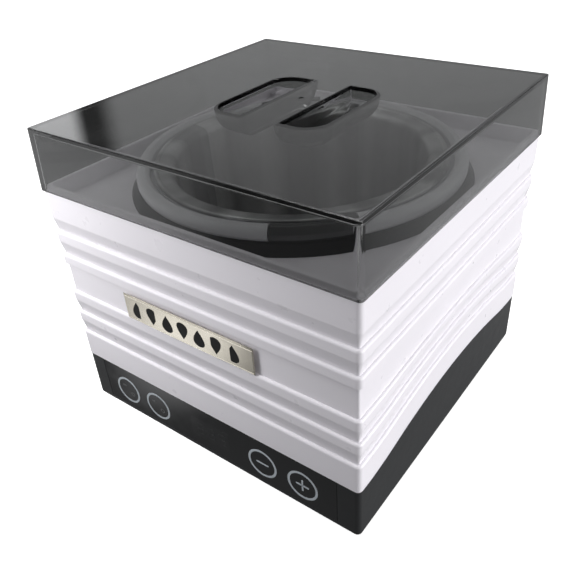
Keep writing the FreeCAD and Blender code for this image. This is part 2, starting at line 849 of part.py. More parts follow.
def well_radius(height):
    """Outside radius of the well's tapered wall at a height."""
    slope = (S.well_mouth - S.well_waist) / (S.flange_low - S.well_waist_up)
    return S.well_waist + S.well_wall + slope * (height - S.well_waist_up)


def heating_well():
    """Deep-drawn aluminium well that the pot stands in, hung by its flange."""
    wall = S.well_wall
    flange_top = S.flange_low + 1.3
    low = S.well_floor - wall
    body = revolve("heating_well", [
        (0, low), (S.well_floor_radius, low), Bend(15, 1), (S.well_waist + wall, S.well_waist_up),
        (S.well_mouth + wall, S.flange_low), (S.well_flange, S.flange_low), (S.well_flange, flange_top),
        (S.well_mouth + 1, flange_top), Bend(1, 1), (S.well_mouth, flange_top - 1),
        (S.well_waist, S.well_waist_up), Bend(14, -1), (S.well_floor_radius - 1, S.well_floor),
        (0, S.well_floor)])
    return keep(body, "heating_well")


def ring_part(name, low, high, inside, outside):
    """Plain ring between two heights."""
    body = revolve(name, [(inside, low), (outside, low), (outside, high), (inside, high)])
    return keep(body, name)


def heater_and_insulation():
    low, high = S.heater_low, S.heater_high
    band = revolve("band_heater", [
        (well_radius(low), low), (well_radius(low) + S.heater_wall, low),
        (well_radius(high) + S.heater_wall, high), (well_radius(high), high)])
    keep(band, "band_heater")
    ring_part("insulation_sleeve", S.sleeve_low, S.sleeve_high, S.sleeve_inside, S.sleeve_outside)
    ring_part("insulation_disc", S.shield_low + S.shield_wall, S.well_floor - S.well_wall - 2,
              S.disc_bore, S.disc_edge)
    ring_part("well_gasket", S.ledge_top, S.flange_low, S.trim_bore + 0.5, S.well_flange)


def heat_shield():
    """Sheet-steel tray between the hot well and the boards."""
    body = new_body("heat_shield")
    plan = new_sketch(body, "shield_plan", "XY_Plane", S.shield_low)
    rounded_square(plan, S.shield_width, to_size(8))
    feature(body, "Pad", plan, S.shield_wall)
    holes = new_sketch(body, "shield_holes", "XY_Plane", S.shield_low + S.shield_wall)
    for across, deep in corners_of(S.standoff_place):
        circle(holes, across, deep, S.screw_radius)
    circle(holes, 0, 0, S.shield_bore)
    for across, deep in heater_lead_places():
        circle(holes, across, deep, 2)
    pocket(body, holes, S.shield_wall)
    return keep(body, "heat_shield")


def heater_lead_places():
    radius = well_radius(S.heater_low) + S.heater_wall / 2
    turns = [math.radians(turn) for turn in (43, 47)]
    return [(radius * round(math.cos(turn), 6), radius * round(math.sin(turn), 6)) for turn in turns]


def shield_supports():
    floor_top = S.foot_proud + S.base_wall
    standoffs = []
    screws = []
    for across, deep in corners_of(S.standoff_place):
        bar = cylinder("standoff_bar", (across, deep, floor_top), S.board_post, S.shield_low - floor_top)
        bore = cylinder("standoff_bore", (across, deep, S.shield_low - 8), S.screw_radius, 8)
        standoffs.append(cut("standoff", bar, [bore]))
        screws.append(down_screw("shield_screw", (across, deep, S.shield_low + S.shield_wall),
                                 (3, 2), (S.screw_radius, S.shield_wall + 7)))
    keep(group("standoff_set", standoffs), "shield_standoffs")
    keep(group("shield_screw_set", screws), "shield_screws")


def sensors():
    """Snap-disc cut-off and temperature probe, both clamped under the well's floor."""
    under = S.well_floor - S.well_wall
    cutoff = fuse("cutoff", [
        cylinder("cutoff_case", (-7, 0, under - 7), 8, 7),
        box("cutoff_tab_left", (-14, -3, under - 11), (0.8, 6, 4)),
        box("cutoff_tab_right", (-0.8, -3, under - 11), (0.8, 6, 4)),
    ])
    keep(cutoff, "thermal_cutoff")
    probe = fuse("probe", [
        cylinder("probe_bead", (9, 0, under - 6), 2.5, 6),
        cylinder("probe_flange", (9, 0, under - 1.5), 4.5, 1.5),
    ])
    keep(probe, "temperature_probe")


# ---------- electronics ----------

def power_board():
    top = S.board_low + S.board_wall
    plate = box("board_plate", (-(S.board_width / 2), S.board_front, S.board_low),
                (S.board_width, S.board_back - S.board_front, S.board_wall))
    holes = [cylinder("board_hole", (across, deep, S.board_low - 1), S.screw_radius, 4)
             for across, deep in board_screw_places()]
    keep(cut("board", plate, holes), "power_board")
    screws = [down_screw("board_screw", (across, deep, top), (3, 2), (S.screw_radius, S.board_wall + 4))
              for across, deep in board_screw_places()]
    keep(group("board_screw_set", screws), "board_screws")
    keep(box("transformer_block", (-20, 44, top), (26, 22, 20)), "transformer")
    keep(box("relay_block", (18, 14, top), (19, 15.5, 15.5)), "relay")
    keep(box("capacitor_block", (-48, 40, top), (18, 9, 14)), "filter_capacitor")
    blocks = []
    for name, left, front in (("mains_block", -46, 62), ("heater_block", 22, 52)):
        body = box(name, (left, front, top), (20, 10, 12))
        sockets = [cylinder(f"{name}_socket", (left + 5 + 10 * place, front + 5, top + 8), 1.6, 5)
                   for place in range(2)]
        blocks.append(cut(f"{name}_body", body, sockets))
    keep(group("terminal_block_set", blocks), "terminal_blocks")
    fuse_parts = [
        cylinder("fuse_glass", (-45, 22, top + 5), 2.2, 20, "right"),
        cylinder("fuse_cap_left", (-47, 22, top + 5), 2.8, 5, "right"),
        cylinder("fuse_cap_right", (-28, 22, top + 5), 2.8, 5, "right"),
        box("fuse_clip_left", (-46, 20.5, top), (3, 3, 4)),
        box("fuse_clip_right", (-27, 20.5, top), (3, 3, 4)),
    ]
    keep(fuse("fuse_set", fuse_parts), "mains_fuse")


KEY_PLACES = (-84, -51.5, 48, 81)


def control_board():
    """Upright board behind the fascia, with its touch springs, display, controller and buzzer."""
    face = -(S.base_width / 2) + S.panel_wall
    front = face + S.control_gap
    back = front + S.board_wall
    plate = box("control_plate", (-(S.control_width / 2), front, S.control_foot),
                (S.control_width, S.board_wall, S.control_height))
    holes = [cylinder("control_hole", (across, front - 1, up), 1, 4, "back")
             for across, up in control_screw_places()]
    keep(cut("control_plate_cut", plate, holes), "control_board")
    screws = []
    for across, up in control_screw_places():
        screws.append(fuse("control_screw", [
            cylinder("control_screw_head", (across, back, up), 2.4, 1.8, "back"),
            cylinder("control_screw_shank", (across, back - 7, up), 1, 7, "back"),
        ]))
    keep(group("control_screw_set", screws), "control_board_screws")
    springs = []
    for across in KEY_PLACES:
        place = (across, face, S.key_height)
        outer = cylinder("spring_outer", place, S.spring_outside, S.control_gap, "back")
        inner = cylinder("spring_inner", (across, face - 1, S.key_height), S.spring_inside, 12, "back")
        springs.append(cut("spring", outer, [inner]))
    keep(group("spring_set", springs), "touch_springs")
    keep(box("display_block", (-17, face, 14), (36, S.control_gap, 18)), "display_module")
    keep(box("chip_block", (-45, back, 18), (14, 1.6, 10)), "controller_chip")
    keep(cylinder("buzzer_case", (60, back, S.key_height), 6, 6.5, "back"), "buzzer")


INLET_PINS = ((-7, -2), (0, 2), (7, -2))


def pin_box(name, across, up, front, length):
    """Block of a pin's section, off the inlet's middle, from a front face backwards."""
    return box(name, (S.inlet_middle + across - S.pin_width / 2, front, S.inlet_height + up - S.pin_rise / 2),
               (S.pin_width, length, S.pin_rise))


def mains_inlet():
    """Rear three-pin inlet: a flanged socket body, its pins and its two screws."""
    middle, height = S.inlet_middle, S.inlet_height
    back = S.base_width / 2
    width, rise, deep = S.inlet_width, S.inlet_rise, S.inlet_flange
    flange = box("inlet_flange", (middle - width / 2, back - deep, height - rise / 2), (width, deep, rise))
    width, rise, deep = S.inlet_body, S.inlet_body_rise, S.inlet_body_depth
    throat = box("inlet_body", (middle - width / 2, back - deep, height - rise / 2), (width, deep, rise))
    width, rise, deep = S.socket_width, S.socket_rise, S.socket_depth
    cavity = box("inlet_cavity", (middle - width / 2, back - deep, height - rise / 2),
                 (width, deep + 1, rise))
    ears = [cylinder("inlet_ear", (middle + S.ear_reach * side, back - 3, height), S.screw_radius, 4, "back")
            for side in (-1, 1)]
    slots = [pin_box("inlet_slot", across, up, back - 27, 11) for across, up in INLET_PINS]
    keep(cut("inlet", fuse("inlet_solid", [flange, throat]), [cavity] + ears + slots), "mains_inlet")
    pins = [pin_box("inlet_pin", across, up, back - 34, 32) for across, up in INLET_PINS]
    keep(group("inlet_pin_set", pins), "inlet_pins")
    screws = []
    for side in (-1, 1):
        screws.append(fuse("inlet_screw", [
            cylinder("inlet_screw_head", (middle + S.ear_reach * side, back, height), 2.8, 1.2, "back"),
            cylinder("inlet_screw_shank", (middle + S.ear_reach * side, back - 6, height), S.screw_radius, 6,
                     "back"),
        ]))
    keep(group("inlet_screw_set", screws), "inlet_screws")


def leads():
    """Internal leads, held all the way between the parts that they join."""
    top = S.board_low.value + S.board_wall.value
    back = S.base_width.value / 2 - 34
    middle, height = S.inlet_middle.value, S.inlet_height.value
    block = top + 8
    live_and_neutral = []
    for across, target in zip((-7, 7), (-41, -31)):
        start = middle + across
        live_and_neutral.append(wire([
            (start, back, height - 2), (start, back - 11, height - 2), (start + 4, back - 17, block + 10),
            (target, back - 21, block + 17), (target, 67, block + 11), (target, 67, block)], 1.2))
    shape_feature("mains_leads", Part.makeCompound(live_and_neutral))
    shield = S.shield_low.value
    shape_feature("earth_lead", wire([
        (middle, back, height + 2), (middle, back - 4, height + 2), (middle - 12, back - 5, height + 8),
        (middle - 16, back - 10, shield - 6), (middle - 16, back - 10, shield)], 1.2))
    heater_low = S.heater_low.value
    heater = []
    for (across, deep), socket in zip(heater_lead_places(), (37, 27)):
        heater.append(wire([
            (socket, 57, block), (socket, 57, block + 8), (across.value - 8, deep.value - 3, shield - 13),
            (across.value, deep.value, shield - 9), (across.value, deep.value, heater_low)], 1))
    shape_feature("heater_leads", Part.makeCompound(heater))
    under = S.well_floor.value - S.well_wall.value
    signal = [
        wire([(9, 0, under - 6), (9, 0, shield - 6), (9, 14, shield - 16), (9, 20, top + 8),
              (9, 20, top)], 0.9),
        wire([(-7, 0, under - 7), (-7, 0, shield - 6), (-7, 14, shield - 16), (-7, 20, top + 8),
              (-7, 20, top)], 0.9),
    ]
    shape_feature("sensor_leads", Part.makeCompound(signal))
    board = -(S.base_width.value / 2) + S.panel_wall.value + S.control_gap.value + S.board_wall.value
    shape_feature("signal_lead", wire([
        (0, board, 14), (0, board + 10, 14), (0, board + 22, 8), (0, -20, 8), (0, -4, top + 8),
        (0, 10, top + 8), (0, 10, top)], 1.6))


def build_all():
    make_sheet()
    housing_shell()
    base_tray()
    control_fascia()
    nameplate()
    rubber_feet()
    housing_screws()
    lid_cover()
    wax_pot()
    pot_collar_and_grips()
    well_trim_ring()
    trim_screws()
    heating_well()
    heater_and_insulation()
    heat_shield()
    shield_supports()
    sensors()
    power_board()
    control_board()
    mains_inlet()
    leads()
    doc.recompute()


def check_all():
    """Every object of the document has to have recomputed, and every sub-part needs a valid shape."""
    for item in doc.Objects:
        if "Invalid" in item.State or "Error" in item.State:
            raise ValueError(f"{item.Name} failed: {item.State}")
    for item in sub_parts:
        if item.Shape.isNull() or not item.Shape.isValid() or item.Shape.Volume <= 0:
            raise ValueError(f"{item.Label} has no valid shape")


def write_all():
    os.makedirs("parts", exist_ok=True)
    for item in sub_parts:
        item.Shape.exportStep(os.path.join("parts", f"{item.Label}.step"))
        print(f"{item.Label}: {len(item.Shape.Solids)} solids, {item.Shape.Volume / 1000:.2f} cm3")


build_all()
check_all()
write_all()
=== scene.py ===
import bmesh
import bpy
import json
import math
from mathutils import Matrix, Vector


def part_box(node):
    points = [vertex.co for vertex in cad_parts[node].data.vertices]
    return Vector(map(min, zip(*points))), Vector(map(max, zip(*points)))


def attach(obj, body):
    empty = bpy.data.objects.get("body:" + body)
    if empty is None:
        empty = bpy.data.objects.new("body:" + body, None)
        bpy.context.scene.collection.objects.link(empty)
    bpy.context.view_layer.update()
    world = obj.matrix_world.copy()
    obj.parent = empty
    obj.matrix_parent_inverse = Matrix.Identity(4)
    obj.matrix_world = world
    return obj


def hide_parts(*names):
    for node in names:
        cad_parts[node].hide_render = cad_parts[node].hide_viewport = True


# Wax warmer: a ribbed white shell on a dark base, a pot with a collar, and a smoked lid.
# Lengths in this script are millimetres until a mesh, light or camera is made; MM turns them into metres.

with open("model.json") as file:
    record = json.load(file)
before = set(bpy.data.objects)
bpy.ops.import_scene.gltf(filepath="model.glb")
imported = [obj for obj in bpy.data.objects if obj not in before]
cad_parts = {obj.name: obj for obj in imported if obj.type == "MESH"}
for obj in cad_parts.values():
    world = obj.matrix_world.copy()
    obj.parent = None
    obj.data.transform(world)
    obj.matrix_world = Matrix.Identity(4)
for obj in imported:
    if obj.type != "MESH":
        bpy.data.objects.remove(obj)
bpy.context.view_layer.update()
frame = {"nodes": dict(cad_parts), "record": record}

MM = 0.001
FULL_TURN = 2 * math.pi
TURN_STEPS = 240
SIDE_STEPS = 44
CORNER_STEPS = 6
ARC_STEPS = 5


def span(node):
    """Lowest and highest corner of a CAD node, in millimetres."""
    low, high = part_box(node)
    return low / MM, high / MM


shell_low, shell_high = span("housing_shell")
base_low, base_high = span("base_tray")
lid_low, lid_high = span("lid_cover")
panel_low, panel_high = span("control_fascia")
badge_low, badge_high = span("nameplate")
pot_low, pot_high = span("wax_pot")
collar_low, collar_high = span("pot_collar")
trim_low, trim_high = span("well_trim_ring")
well_low, well_high = span("heating_well")
inlet_low, inlet_high = span("mains_inlet")


# ---------- outlines ----------

def rounded(corners, open_ends=False, steps=ARC_STEPS):
    """Points of an outline through (across, up, radius) corners, each corner rounded to its radius."""
    points = []
    last = len(corners) - 1
    for index, (across, up, radius) in enumerate(corners):
        here = Vector((across, up))
        if not radius or (open_ends and index in (0, last)):
            points.append(here)
            continue
        come = (here - Vector(corners[index - 1][:2])).normalized()
        leave = (Vector(corners[(index + 1) % len(corners)][:2]) - here).normalized()
        side = 1 if come.cross(leave) > 0 else -1
        turn = come.angle(leave)
        start = here - come * radius * math.tan(turn / 2)
        outwards = Vector((come.y, -come.x)) * side * radius
        centre = start - outwards
        for step in range(steps + 1):
            angle = side * turn * step / steps
            points.append(centre + Vector((
                outwards.x * math.cos(angle) - outwards.y * math.sin(angle),
                outwards.x * math.sin(angle) + outwards.y * math.cos(angle))))
    return points


ARCH_HALF = 118
ARCH_END = 35


def arch_share(deep):
    """Share of the seam's rise at a place along a side wall: hollow ends and a crowned middle."""
    reach = abs(deep)
    if reach >= ARCH_HALF:
        return 0
    if reach > ARCH_HALF - ARCH_END:
        return (ARCH_END / ARCH_HALF) * ((ARCH_HALF - reach) / ARCH_END) ** 2
    crown = ARCH_HALF - ARCH_END
    return 1 - (crown / ARCH_HALF) * (reach / crown) ** 2


def square_ring(half, corner, level, rise=0):
    """Points round a rounded square. On its left and right sides they follow the arch, up to rise."""
    flat = half - corner
    ring = []
    for quarter in range(4):
        turn = quarter * math.pi / 2
        side = [(half, flat * (2 * step / SIDE_STEPS - 1)) for step in range(SIDE_STEPS)]
        for step in range(CORNER_STEPS):
            angle = math.pi / 2 * step / CORNER_STEPS
            side.append((flat + corner * math.cos(angle), flat + corner * math.sin(angle)))
        for out, along in side:
            across = out * math.cos(turn) - along * math.sin(turn)
            deep = out * math.sin(turn) + along * math.cos(turn)
            lift = rise * arch_share(deep) if abs(across) > abs(deep) else 0
            ring.append((across, deep, level + lift))
    return ring


def circle_ring(radius, level, like):
    """Points round a circle, in the same directions as another ring's."""
    ring = []
    for point in like:
        out = Vector(point[:2]).normalized() * radius
        ring.append((out.x, out.y, level))
    return ring


# ---------- meshes ----------

def finish_mesh(mesh, sharp):
    """Welds and orients a mesh, and shades it smooth apart from its sharp edges."""
    work = bmesh.new()
    work.from_mesh(mesh)
    bmesh.ops.remove_doubles(work, verts=work.verts, dist=2e-6)
    bmesh.ops.recalc_face_normals(work, faces=work.faces)
    work.to_mesh(mesh)
    work.free()
    mesh.polygons.foreach_set("use_smooth", [True] * len(mesh.polygons))
    mesh.set_sharp_from_angle(angle=math.radians(sharp))


def piece_from(name, points, faces, sharp=40):
    """New object from points in millimetres and the faces between them."""
    mesh = bpy.data.meshes.new(name)
    mesh.from_pydata([Vector(point) * MM for point in points], [], faces)
    finish_mesh(mesh, sharp)
    piece = bpy.data.objects.new(name, mesh)
    bpy.context.scene.collection.objects.link(piece)
    return piece


def loft(name, rings, joined=False, sharp=40):
    """Skin over rings of equally many points: capped at both ends, or the last ring joined to the first."""
    count = len(rings[0])
    faces = []
    for number in range(len(rings) if joined else len(rings) - 1):
        here = number * count
        there = (number + 1) % len(rings) * count
        for step in range(count):
            following = (step + 1) % count
            faces.append((here + step, here + following, there + following, there + step))
    if not joined:
        faces.append(tuple(range(count)))
        faces.append(tuple(range((len(rings) - 1) * count, len(rings) * count)))
    return piece_from(name, [point for ring in rings for point in ring], faces, sharp)


def turned(name, outline, centre=(0, 0), steps=TURN_STEPS, start=0.0, sweep=FULL_TURN, sharp=40):
    """Solid of revolution about an upright axis, or a stretch of one."""
    whole = sweep == FULL_TURN
    rings = []
    for step in range(steps if whole else steps + 1):
        angle = start + sweep * step / steps
        rings.append([(centre[0] + out * math.cos(angle), centre[1] + out * math.sin(angle), up)
                      for out, up in outline])
    return loft(name, rings, joined=whole, sharp=sharp)


def block(name, low, high, edge=0.0):
    """Box with its upright edges rounded."""
    middle = ((low[0] + high[0]) / 2, (low[1] + high[1]) / 2)
    half = ((high[0] - low[0]) / 2, (high[1] - low[1]) / 2)
    plan = rounded([(-half[0], -half[1], edge), (half[0], -half[1], edge), (half[0], half[1], edge),
                    (-half[0], half[1], edge)])
    return loft(name, [[(middle[0] + point.x, middle[1] + point.y, level) for point in plan]
                       for level in (low[2], high[2])])


def bar_back(name, plan, front, back, edge=0.0):
    """Prism with an outline in (across, up), running from front to back, its front edge eased."""
    middle = sum(plan, Vector((0, 0))) / len(plan)
    reach = max((point - middle).length for point in plan)

    def ring(deep, inset):
        share = 1 - inset / reach
        return [(middle.x + (point.x - middle.x) * share, deep, middle.y + (point.y - middle.y) * share)
                for point in plan]
    eased = [ring(front, edge)] if edge else []
    return loft(name, eased + [ring(front + edge, 0), ring(back, 0)])


def disc_plan(across, up, radius, steps=48):
    """Outline of a circle, in (across, up)."""
    return [Vector((across + radius * math.cos(FULL_TURN * step / steps),
                    up + radius * math.sin(FULL_TURN * step / steps))) for step in range(steps)]


def rectangle_plan(left, low, right, high, radius=0.0):
    """Outline of a rectangle with rounded corners."""
    return rounded([(left, low, radius), (right, low, radius), (right, high, radius), (left, high, radius)])


def pin_outline(radius, low, high):
    """Half outline of a plain upright pin."""
    return [Vector(point) for point in ((0, low), (radius, low), (radius, high), (0, high))]


def apply_modifiers(piece):
    """Turns a piece's modifiers into its own mesh."""
    shown = piece.evaluated_get(bpy.context.evaluated_depsgraph_get())
    mesh = bpy.data.meshes.new_from_object(shown)
    piece.modifiers.clear()
    piece.data = mesh
    return piece


def combine(piece, tools, operation):
    """Boolean of a piece with tools, which are used up."""
    for tool in tools:
        step = piece.modifiers.new("step", "BOOLEAN")
        step.operation = operation
        step.solver = "EXACT"
        step.object = tool
        apply_modifiers(piece)
        bpy.data.objects.remove(tool)
    return piece


def join(name, parts):
    """One piece out of several separate closed ones."""
    points, faces = [], []
    for part in parts:
        offset = len(points)
        points += [vertex.co / MM for vertex in part.data.vertices]
        faces += [tuple(offset + corner for corner in face.vertices) for face in part.data.polygons]
        bpy.data.objects.remove(part)
    return piece_from(name, points, faces)


def ease_edges(piece, width, steps=2, angle=50, sharp=40):
    """Small rounding of every hard edge."""
    bevel = piece.modifiers.new("ease", "BEVEL")
    bevel.width = width * MM
    bevel.segments = steps
    bevel.limit_method = "ANGLE"
    bevel.angle_limit = math.radians(angle)
    bevel.use_clamp_overlap = True
    apply_modifiers(piece)
    finish_mesh(piece.data, sharp)
    return piece


def even_shading(piece):
    """Keeps large flat faces flat beside small rounded ones."""
    weighted = piece.modifiers.new("weighted", "WEIGHTED_NORMAL")
    weighted.keep_sharp = True
    weighted.weight = 100
    return piece


def place(piece, body, slot, finish, *nodes):
    """Gives a piece its finish, and hands it over to its body and CAD nodes."""
    piece.data.materials.clear()
    piece.data.materials.append(finish)
    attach(piece, body)
    if nodes:
        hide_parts(*nodes)
    return piece


# ---------- materials ----------

def new_finish(name):
    """Material with one Principled shader. Returns it with its node tree, shader and object coordinates."""
    made = bpy.data.materials.new(name)
    made.use_nodes = True
    tree = made.node_tree
    shader = tree.nodes["Principled BSDF"]
    coordinates = tree.nodes.new("ShaderNodeTexCoord").outputs["Object"]
    return made, tree, shader, coordinates


def stretched(tree, coordinates, scale):
    """Coordinates scaled along each axis."""
    mapping = tree.nodes.new("ShaderNodeMapping")
    mapping.inputs["Scale"].default_value = scale
    tree.links.new(coordinates, mapping.inputs["Vector"])
    return mapping.outputs["Vector"]


def polar(tree, coordinates):
    """(radius, turn in radians, height) of each point about the upright axis."""
    split = tree.nodes.new("ShaderNodeSeparateXYZ")
    tree.links.new(coordinates, split.inputs[0])
    flat = tree.nodes.new("ShaderNodeCombineXYZ")
    tree.links.new(split.outputs[0], flat.inputs[0])
    tree.links.new(split.outputs[1], flat.inputs[1])
    length = tree.nodes.new("ShaderNodeVectorMath")
    length.operation = "LENGTH"
    tree.links.new(flat.outputs[0], length.inputs[0])
    turn = tree.nodes.new("ShaderNodeMath")
    turn.operation = "ARCTAN2"
    tree.links.new(split.outputs[1], turn.inputs[0])
    tree.links.new(split.outputs[0], turn.inputs[1])
    joined = tree.nodes.new("ShaderNodeCombineXYZ")
    tree.links.new(length.outputs["Value"], joined.inputs[0])
    tree.links.new(turn.outputs[0], joined.inputs[1])
    tree.links.new(split.outputs[2], joined.inputs[2])
    return joined.outputs[0]


def noise(tree, coordinates, scale, detail=3.0, roughness=0.55):
    """Noise with this many features to a metre."""
    texture = tree.nodes.new("ShaderNodeTexNoise")
    texture.inputs["Scale"].default_value = scale
    texture.inputs["Detail"].default_value = detail
    texture.inputs["Roughness"].default_value = roughness
    tree.links.new(coordinates, texture.inputs["Vector"])
    return texture.outputs["Fac"]


def spread(tree, value, low, high, start=0.3, end=0.7):
    """Maps a value between start and end to the range from low to high."""
    node = tree.nodes.new("ShaderNodeMapRange")
    for name, number in (("From Min", start), ("From Max", end), ("To Min", low), ("To Max", high)):
        node.inputs[name].default_value = number
    tree.links.new(value, node.inputs["Value"])
    return node.outputs["Result"]


def swell(tree, value, start, end, level):
    """Smooth rise from 0 at start to level at end. It falls when start is the greater."""
    node = tree.nodes.new("ShaderNodeMapRange")
    node.interpolation_type = "SMOOTHSTEP"
    rising = end > start
    numbers = (start, end, 0, level) if rising else (end, start, level, 0)
    for name, number in zip(("From Min", "From Max", "To Min", "To Max"), numbers):
        node.inputs[name].default_value = number
    tree.links.new(value, node.inputs["Value"])
    return node.outputs["Result"]


def combined(tree, operation, first, second):
    """Result of an operation on two values, each a number or a socket."""
    node = tree.nodes.new("ShaderNodeMath")
    node.operation = operation
    for socket, value in zip(node.inputs, (first, second)):
        if isinstance(value, (int, float)):
            socket.default_value = value
        else:
            tree.links.new(value, socket)
    return node.outputs[0]


def blend_colours(tree, share, first, second):
    """The first colour where the share is 0, and the second where it is 1."""
    node = tree.nodes.new("ShaderNodeMix")
    node.data_type = "RGBA"
    node.inputs["A"].default_value = (*first, 1)
    node.inputs["B"].default_value = (*second, 1)
    tree.links.new(share, node.inputs["Factor"])
    return node.outputs["Result"]


def add_bump(tree, shader, height, depth, strength=1.0):
    """Bump of a depth in millimetres, on top of any earlier one."""
    bump = tree.nodes.new("ShaderNodeBump")
    bump.inputs["Strength"].default_value = strength
    bump.inputs["Distance"].default_value = depth * MM
    tree.links.new(height, bump.inputs["Height"])
    if shader.inputs["Normal"].is_linked:
        tree.links.new(shader.inputs["Normal"].links[0].from_socket, bump.inputs["Normal"])
    tree.links.new(bump.outputs[0], shader.inputs["Normal"])


def scaled(colour, share):
    """Colour made darker or lighter."""
    return tuple(min(channel * share, 1) for channel in colour)


def moulded(name, colour, rough, grain=2200, depth=0.01, tone=0.06, coat=0.0, wave=18, wave_depth=0.0,
            metallic=0.0, gloss=0.5):
    """Moulded or plain material: slow tone changes, a fine surface grain, and uneven gloss."""
    made, tree, shader, coordinates = new_finish(name)
    slow = noise(tree, coordinates, wave, 4)
    fine = noise(tree, coordinates, grain, 2)
    darker, lighter = scaled(colour, 1 - tone), scaled(colour, 1 + tone / 2)
    shade = blend_colours(tree, spread(tree, slow, 0, 1), darker, lighter)
    tree.links.new(shade, shader.inputs["Base Color"])
    patchy = noise(tree, coordinates, 90, 5)
    tree.links.new(spread(tree, patchy, rough[0], rough[1]), shader.inputs["Roughness"])
    add_bump(tree, shader, fine, depth)
    if wave_depth:
        add_bump(tree, shader, slow, wave_depth)
    shader.inputs["Specular IOR Level"].default_value = gloss
    shader.inputs["Coat Weight"].default_value = coat
    shader.inputs["Coat Roughness"].default_value = 0.05
    shader.inputs["Metallic"].default_value = metallic
    return made


def spun_metal(name, colour, rough, pitch, depth, streaks):
    """Metal turned on a lathe: fine rings about the axis, and soft streaks of painted reflection up its
    walls.
    """
    made, tree, shader, coordinates = new_finish(name)
    round_about = polar(tree, coordinates)
    rings = noise(tree, stretched(tree, round_about, (1, 0.004, 1)), pitch, 2, 0.7)
    upright = noise(tree, stretched(tree, round_about, (0.02, 1, 0.02)), streaks, 1.5)
    split = tree.nodes.new("ShaderNodeSeparateXYZ")
    tree.links.new(round_about, split.inputs[0])
    on_walls = swell(tree, split.outputs[0], 50 * MM, 80 * MM, 1)
    # Painted reflections: lighter and darker upright streaks in the walls' colour stand in for the room
    # mirrored in the metal.
    painted_reflection_streaks = combined(tree, "MULTIPLY", spread(tree, upright, -0.5, 0.5, 0.4, 0.62), on_walls)
    share = combined(tree, "ADD", painted_reflection_streaks, 0.5)
    shade = blend_colours(tree, share, scaled(colour, 0.55), scaled(colour, 1.62))
    tree.links.new(shade, shader.inputs["Base Color"])
    patchy = noise(tree, coordinates, 60, 4)
    tree.links.new(spread(tree, patchy, rough[0], rough[1]), shader.inputs["Roughness"])
    add_bump(tree, shader, rings, depth)
    shader.inputs["Metallic"].default_value = 1
    return made


def brushed_metal(name, colour, rough, pitch, depth, metallic):
    """Metal brushed from left to right."""
    made, tree, shader, coordinates = new_finish(name)
    lines = noise(tree, stretched(tree, coordinates, (0.012, 1, 1)), pitch, 3, 0.7)
    cloud = noise(tree, coordinates, 35, 4)
    shade = blend_colours(tree, spread(tree, cloud, 0, 1), scaled(colour, 0.88), scaled(colour, 1.06))
    tree.links.new(shade, shader.inputs["Base Color"])
    tree.links.new(spread(tree, lines, rough[0], rough[1]), shader.inputs["Roughness"])
    add_bump(tree, shader, lines, depth)
    shader.inputs["Metallic"].default_value = metallic
    return made


CAUGHT_RAY_SHARE = (0.22, 0.22, 0.22)
SHADOW_RAY_SHARE = (0.72, 0.72, 0.72)


def smoked_acrylic(name):
    """Clear acrylic with a grey tint, most of it in the skin. Shadow rays pass it dimmed, so what it covers
    is lit. Rays caught inside a wall pass dimmed too, so its edges don't turn black."""
    made, tree, shader, coordinates = new_finish(name)
    smears = noise(tree, coordinates, 22, 5, 0.6)
    skin = blend_colours(tree, spread(tree, smears, 0, 1), (0.422, 0.428, 0.422), (0.442, 0.448, 0.442))
    tree.links.new(skin, shader.inputs["Base Color"])
    shader.inputs["Transmission Weight"].default_value = 1
    shader.inputs["IOR"].default_value = 1.49
    tree.links.new(spread(tree, smears, 0.0, 0.02, 0.42, 0.75), shader.inputs["Roughness"])
    add_bump(tree, shader, noise(tree, coordinates, 9, 2), 0.01)
    tint = tree.nodes.new("ShaderNodeVolumeAbsorption")
    tint.inputs["Color"].default_value = (0.08, 0.08, 0.10, 1)
    tint.inputs["Density"].default_value = 8
    output = tree.nodes["Material Output"]
    tree.links.new(tint.outputs[0], output.inputs["Volume"])
    path = tree.nodes.new("ShaderNodeLightPath")
    clear = tree.nodes.new("ShaderNodeBsdfTransparent")
    dimmed = blend_colours(tree, path.outputs["Is Shadow Ray"], CAUGHT_RAY_SHARE, SHADOW_RAY_SHARE)
    tree.links.new(dimmed, clear.inputs["Color"])
    mix = tree.nodes.new("ShaderNodeMixShader")
    caught = combined(tree, "GREATER_THAN", path.outputs["Glossy Depth"], 1.5)
    tree.links.new(combined(tree, "MAXIMUM", path.outputs["Is Shadow Ray"], caught), mix.inputs["Fac"])
    tree.links.new(shader.outputs[0], mix.inputs[1])
    tree.links.new(clear.outputs[0], mix.inputs[2])
    tree.links.new(mix.outputs[0], output.inputs["Surface"])
    return made


def felt(name, colour):
    """Pressed fibre: short crossing strands."""
    made, tree, shader, coordinates = new_finish(name)
    strands = noise(tree, stretched(tree, coordinates, (1, 1, 0.12)), 1500, 5, 0.7)
    tufts = noise(tree, coordinates, 160, 4)
    shade = blend_colours(tree, spread(tree, tufts, 0, 1), scaled(colour, 0.84), colour)
    tree.links.new(shade, shader.inputs["Base Color"])
    tree.links.new(spread(tree, strands, 0.85, 1.0), shader.inputs["Roughness"])
    add_bump(tree, shader, strands, 0.35)
    return made


# ---------- casing pieces ----------

GROOVE_TOPS = (76.0, 94.3, 144.1, 162.5)
GROOVE_DEPTH = 2.0
GROOVE_SLOPE = 9.2
GROOVE_SEAT = 1.3
SLOT_FOOT, SLOT_TOP = 102.2, 125.5
SHOULDER = 182.5
LIP_OUTSIDE, LIP_INSIDE = 121.2, 118.0
DECK_TOP, DECK_LOW, DECK_HOLE = 175.0, 172.0, 108.0
SHELL_INSIDE = 119.0
SEAM_RISE = 11.6
BOW_LEVELS = ((43.0, 11.6), (65.5, 10.4), (76.0, 10.4), (83.8, 8.2), (94.3, 8.2), (102.2, 5.0),
              (125.5, 0.0))
SCREW_PLACES = [(across, deep) for across in (-110, 110) for deep in (-110, 110)]
PILOT_RADIUS = 1.5


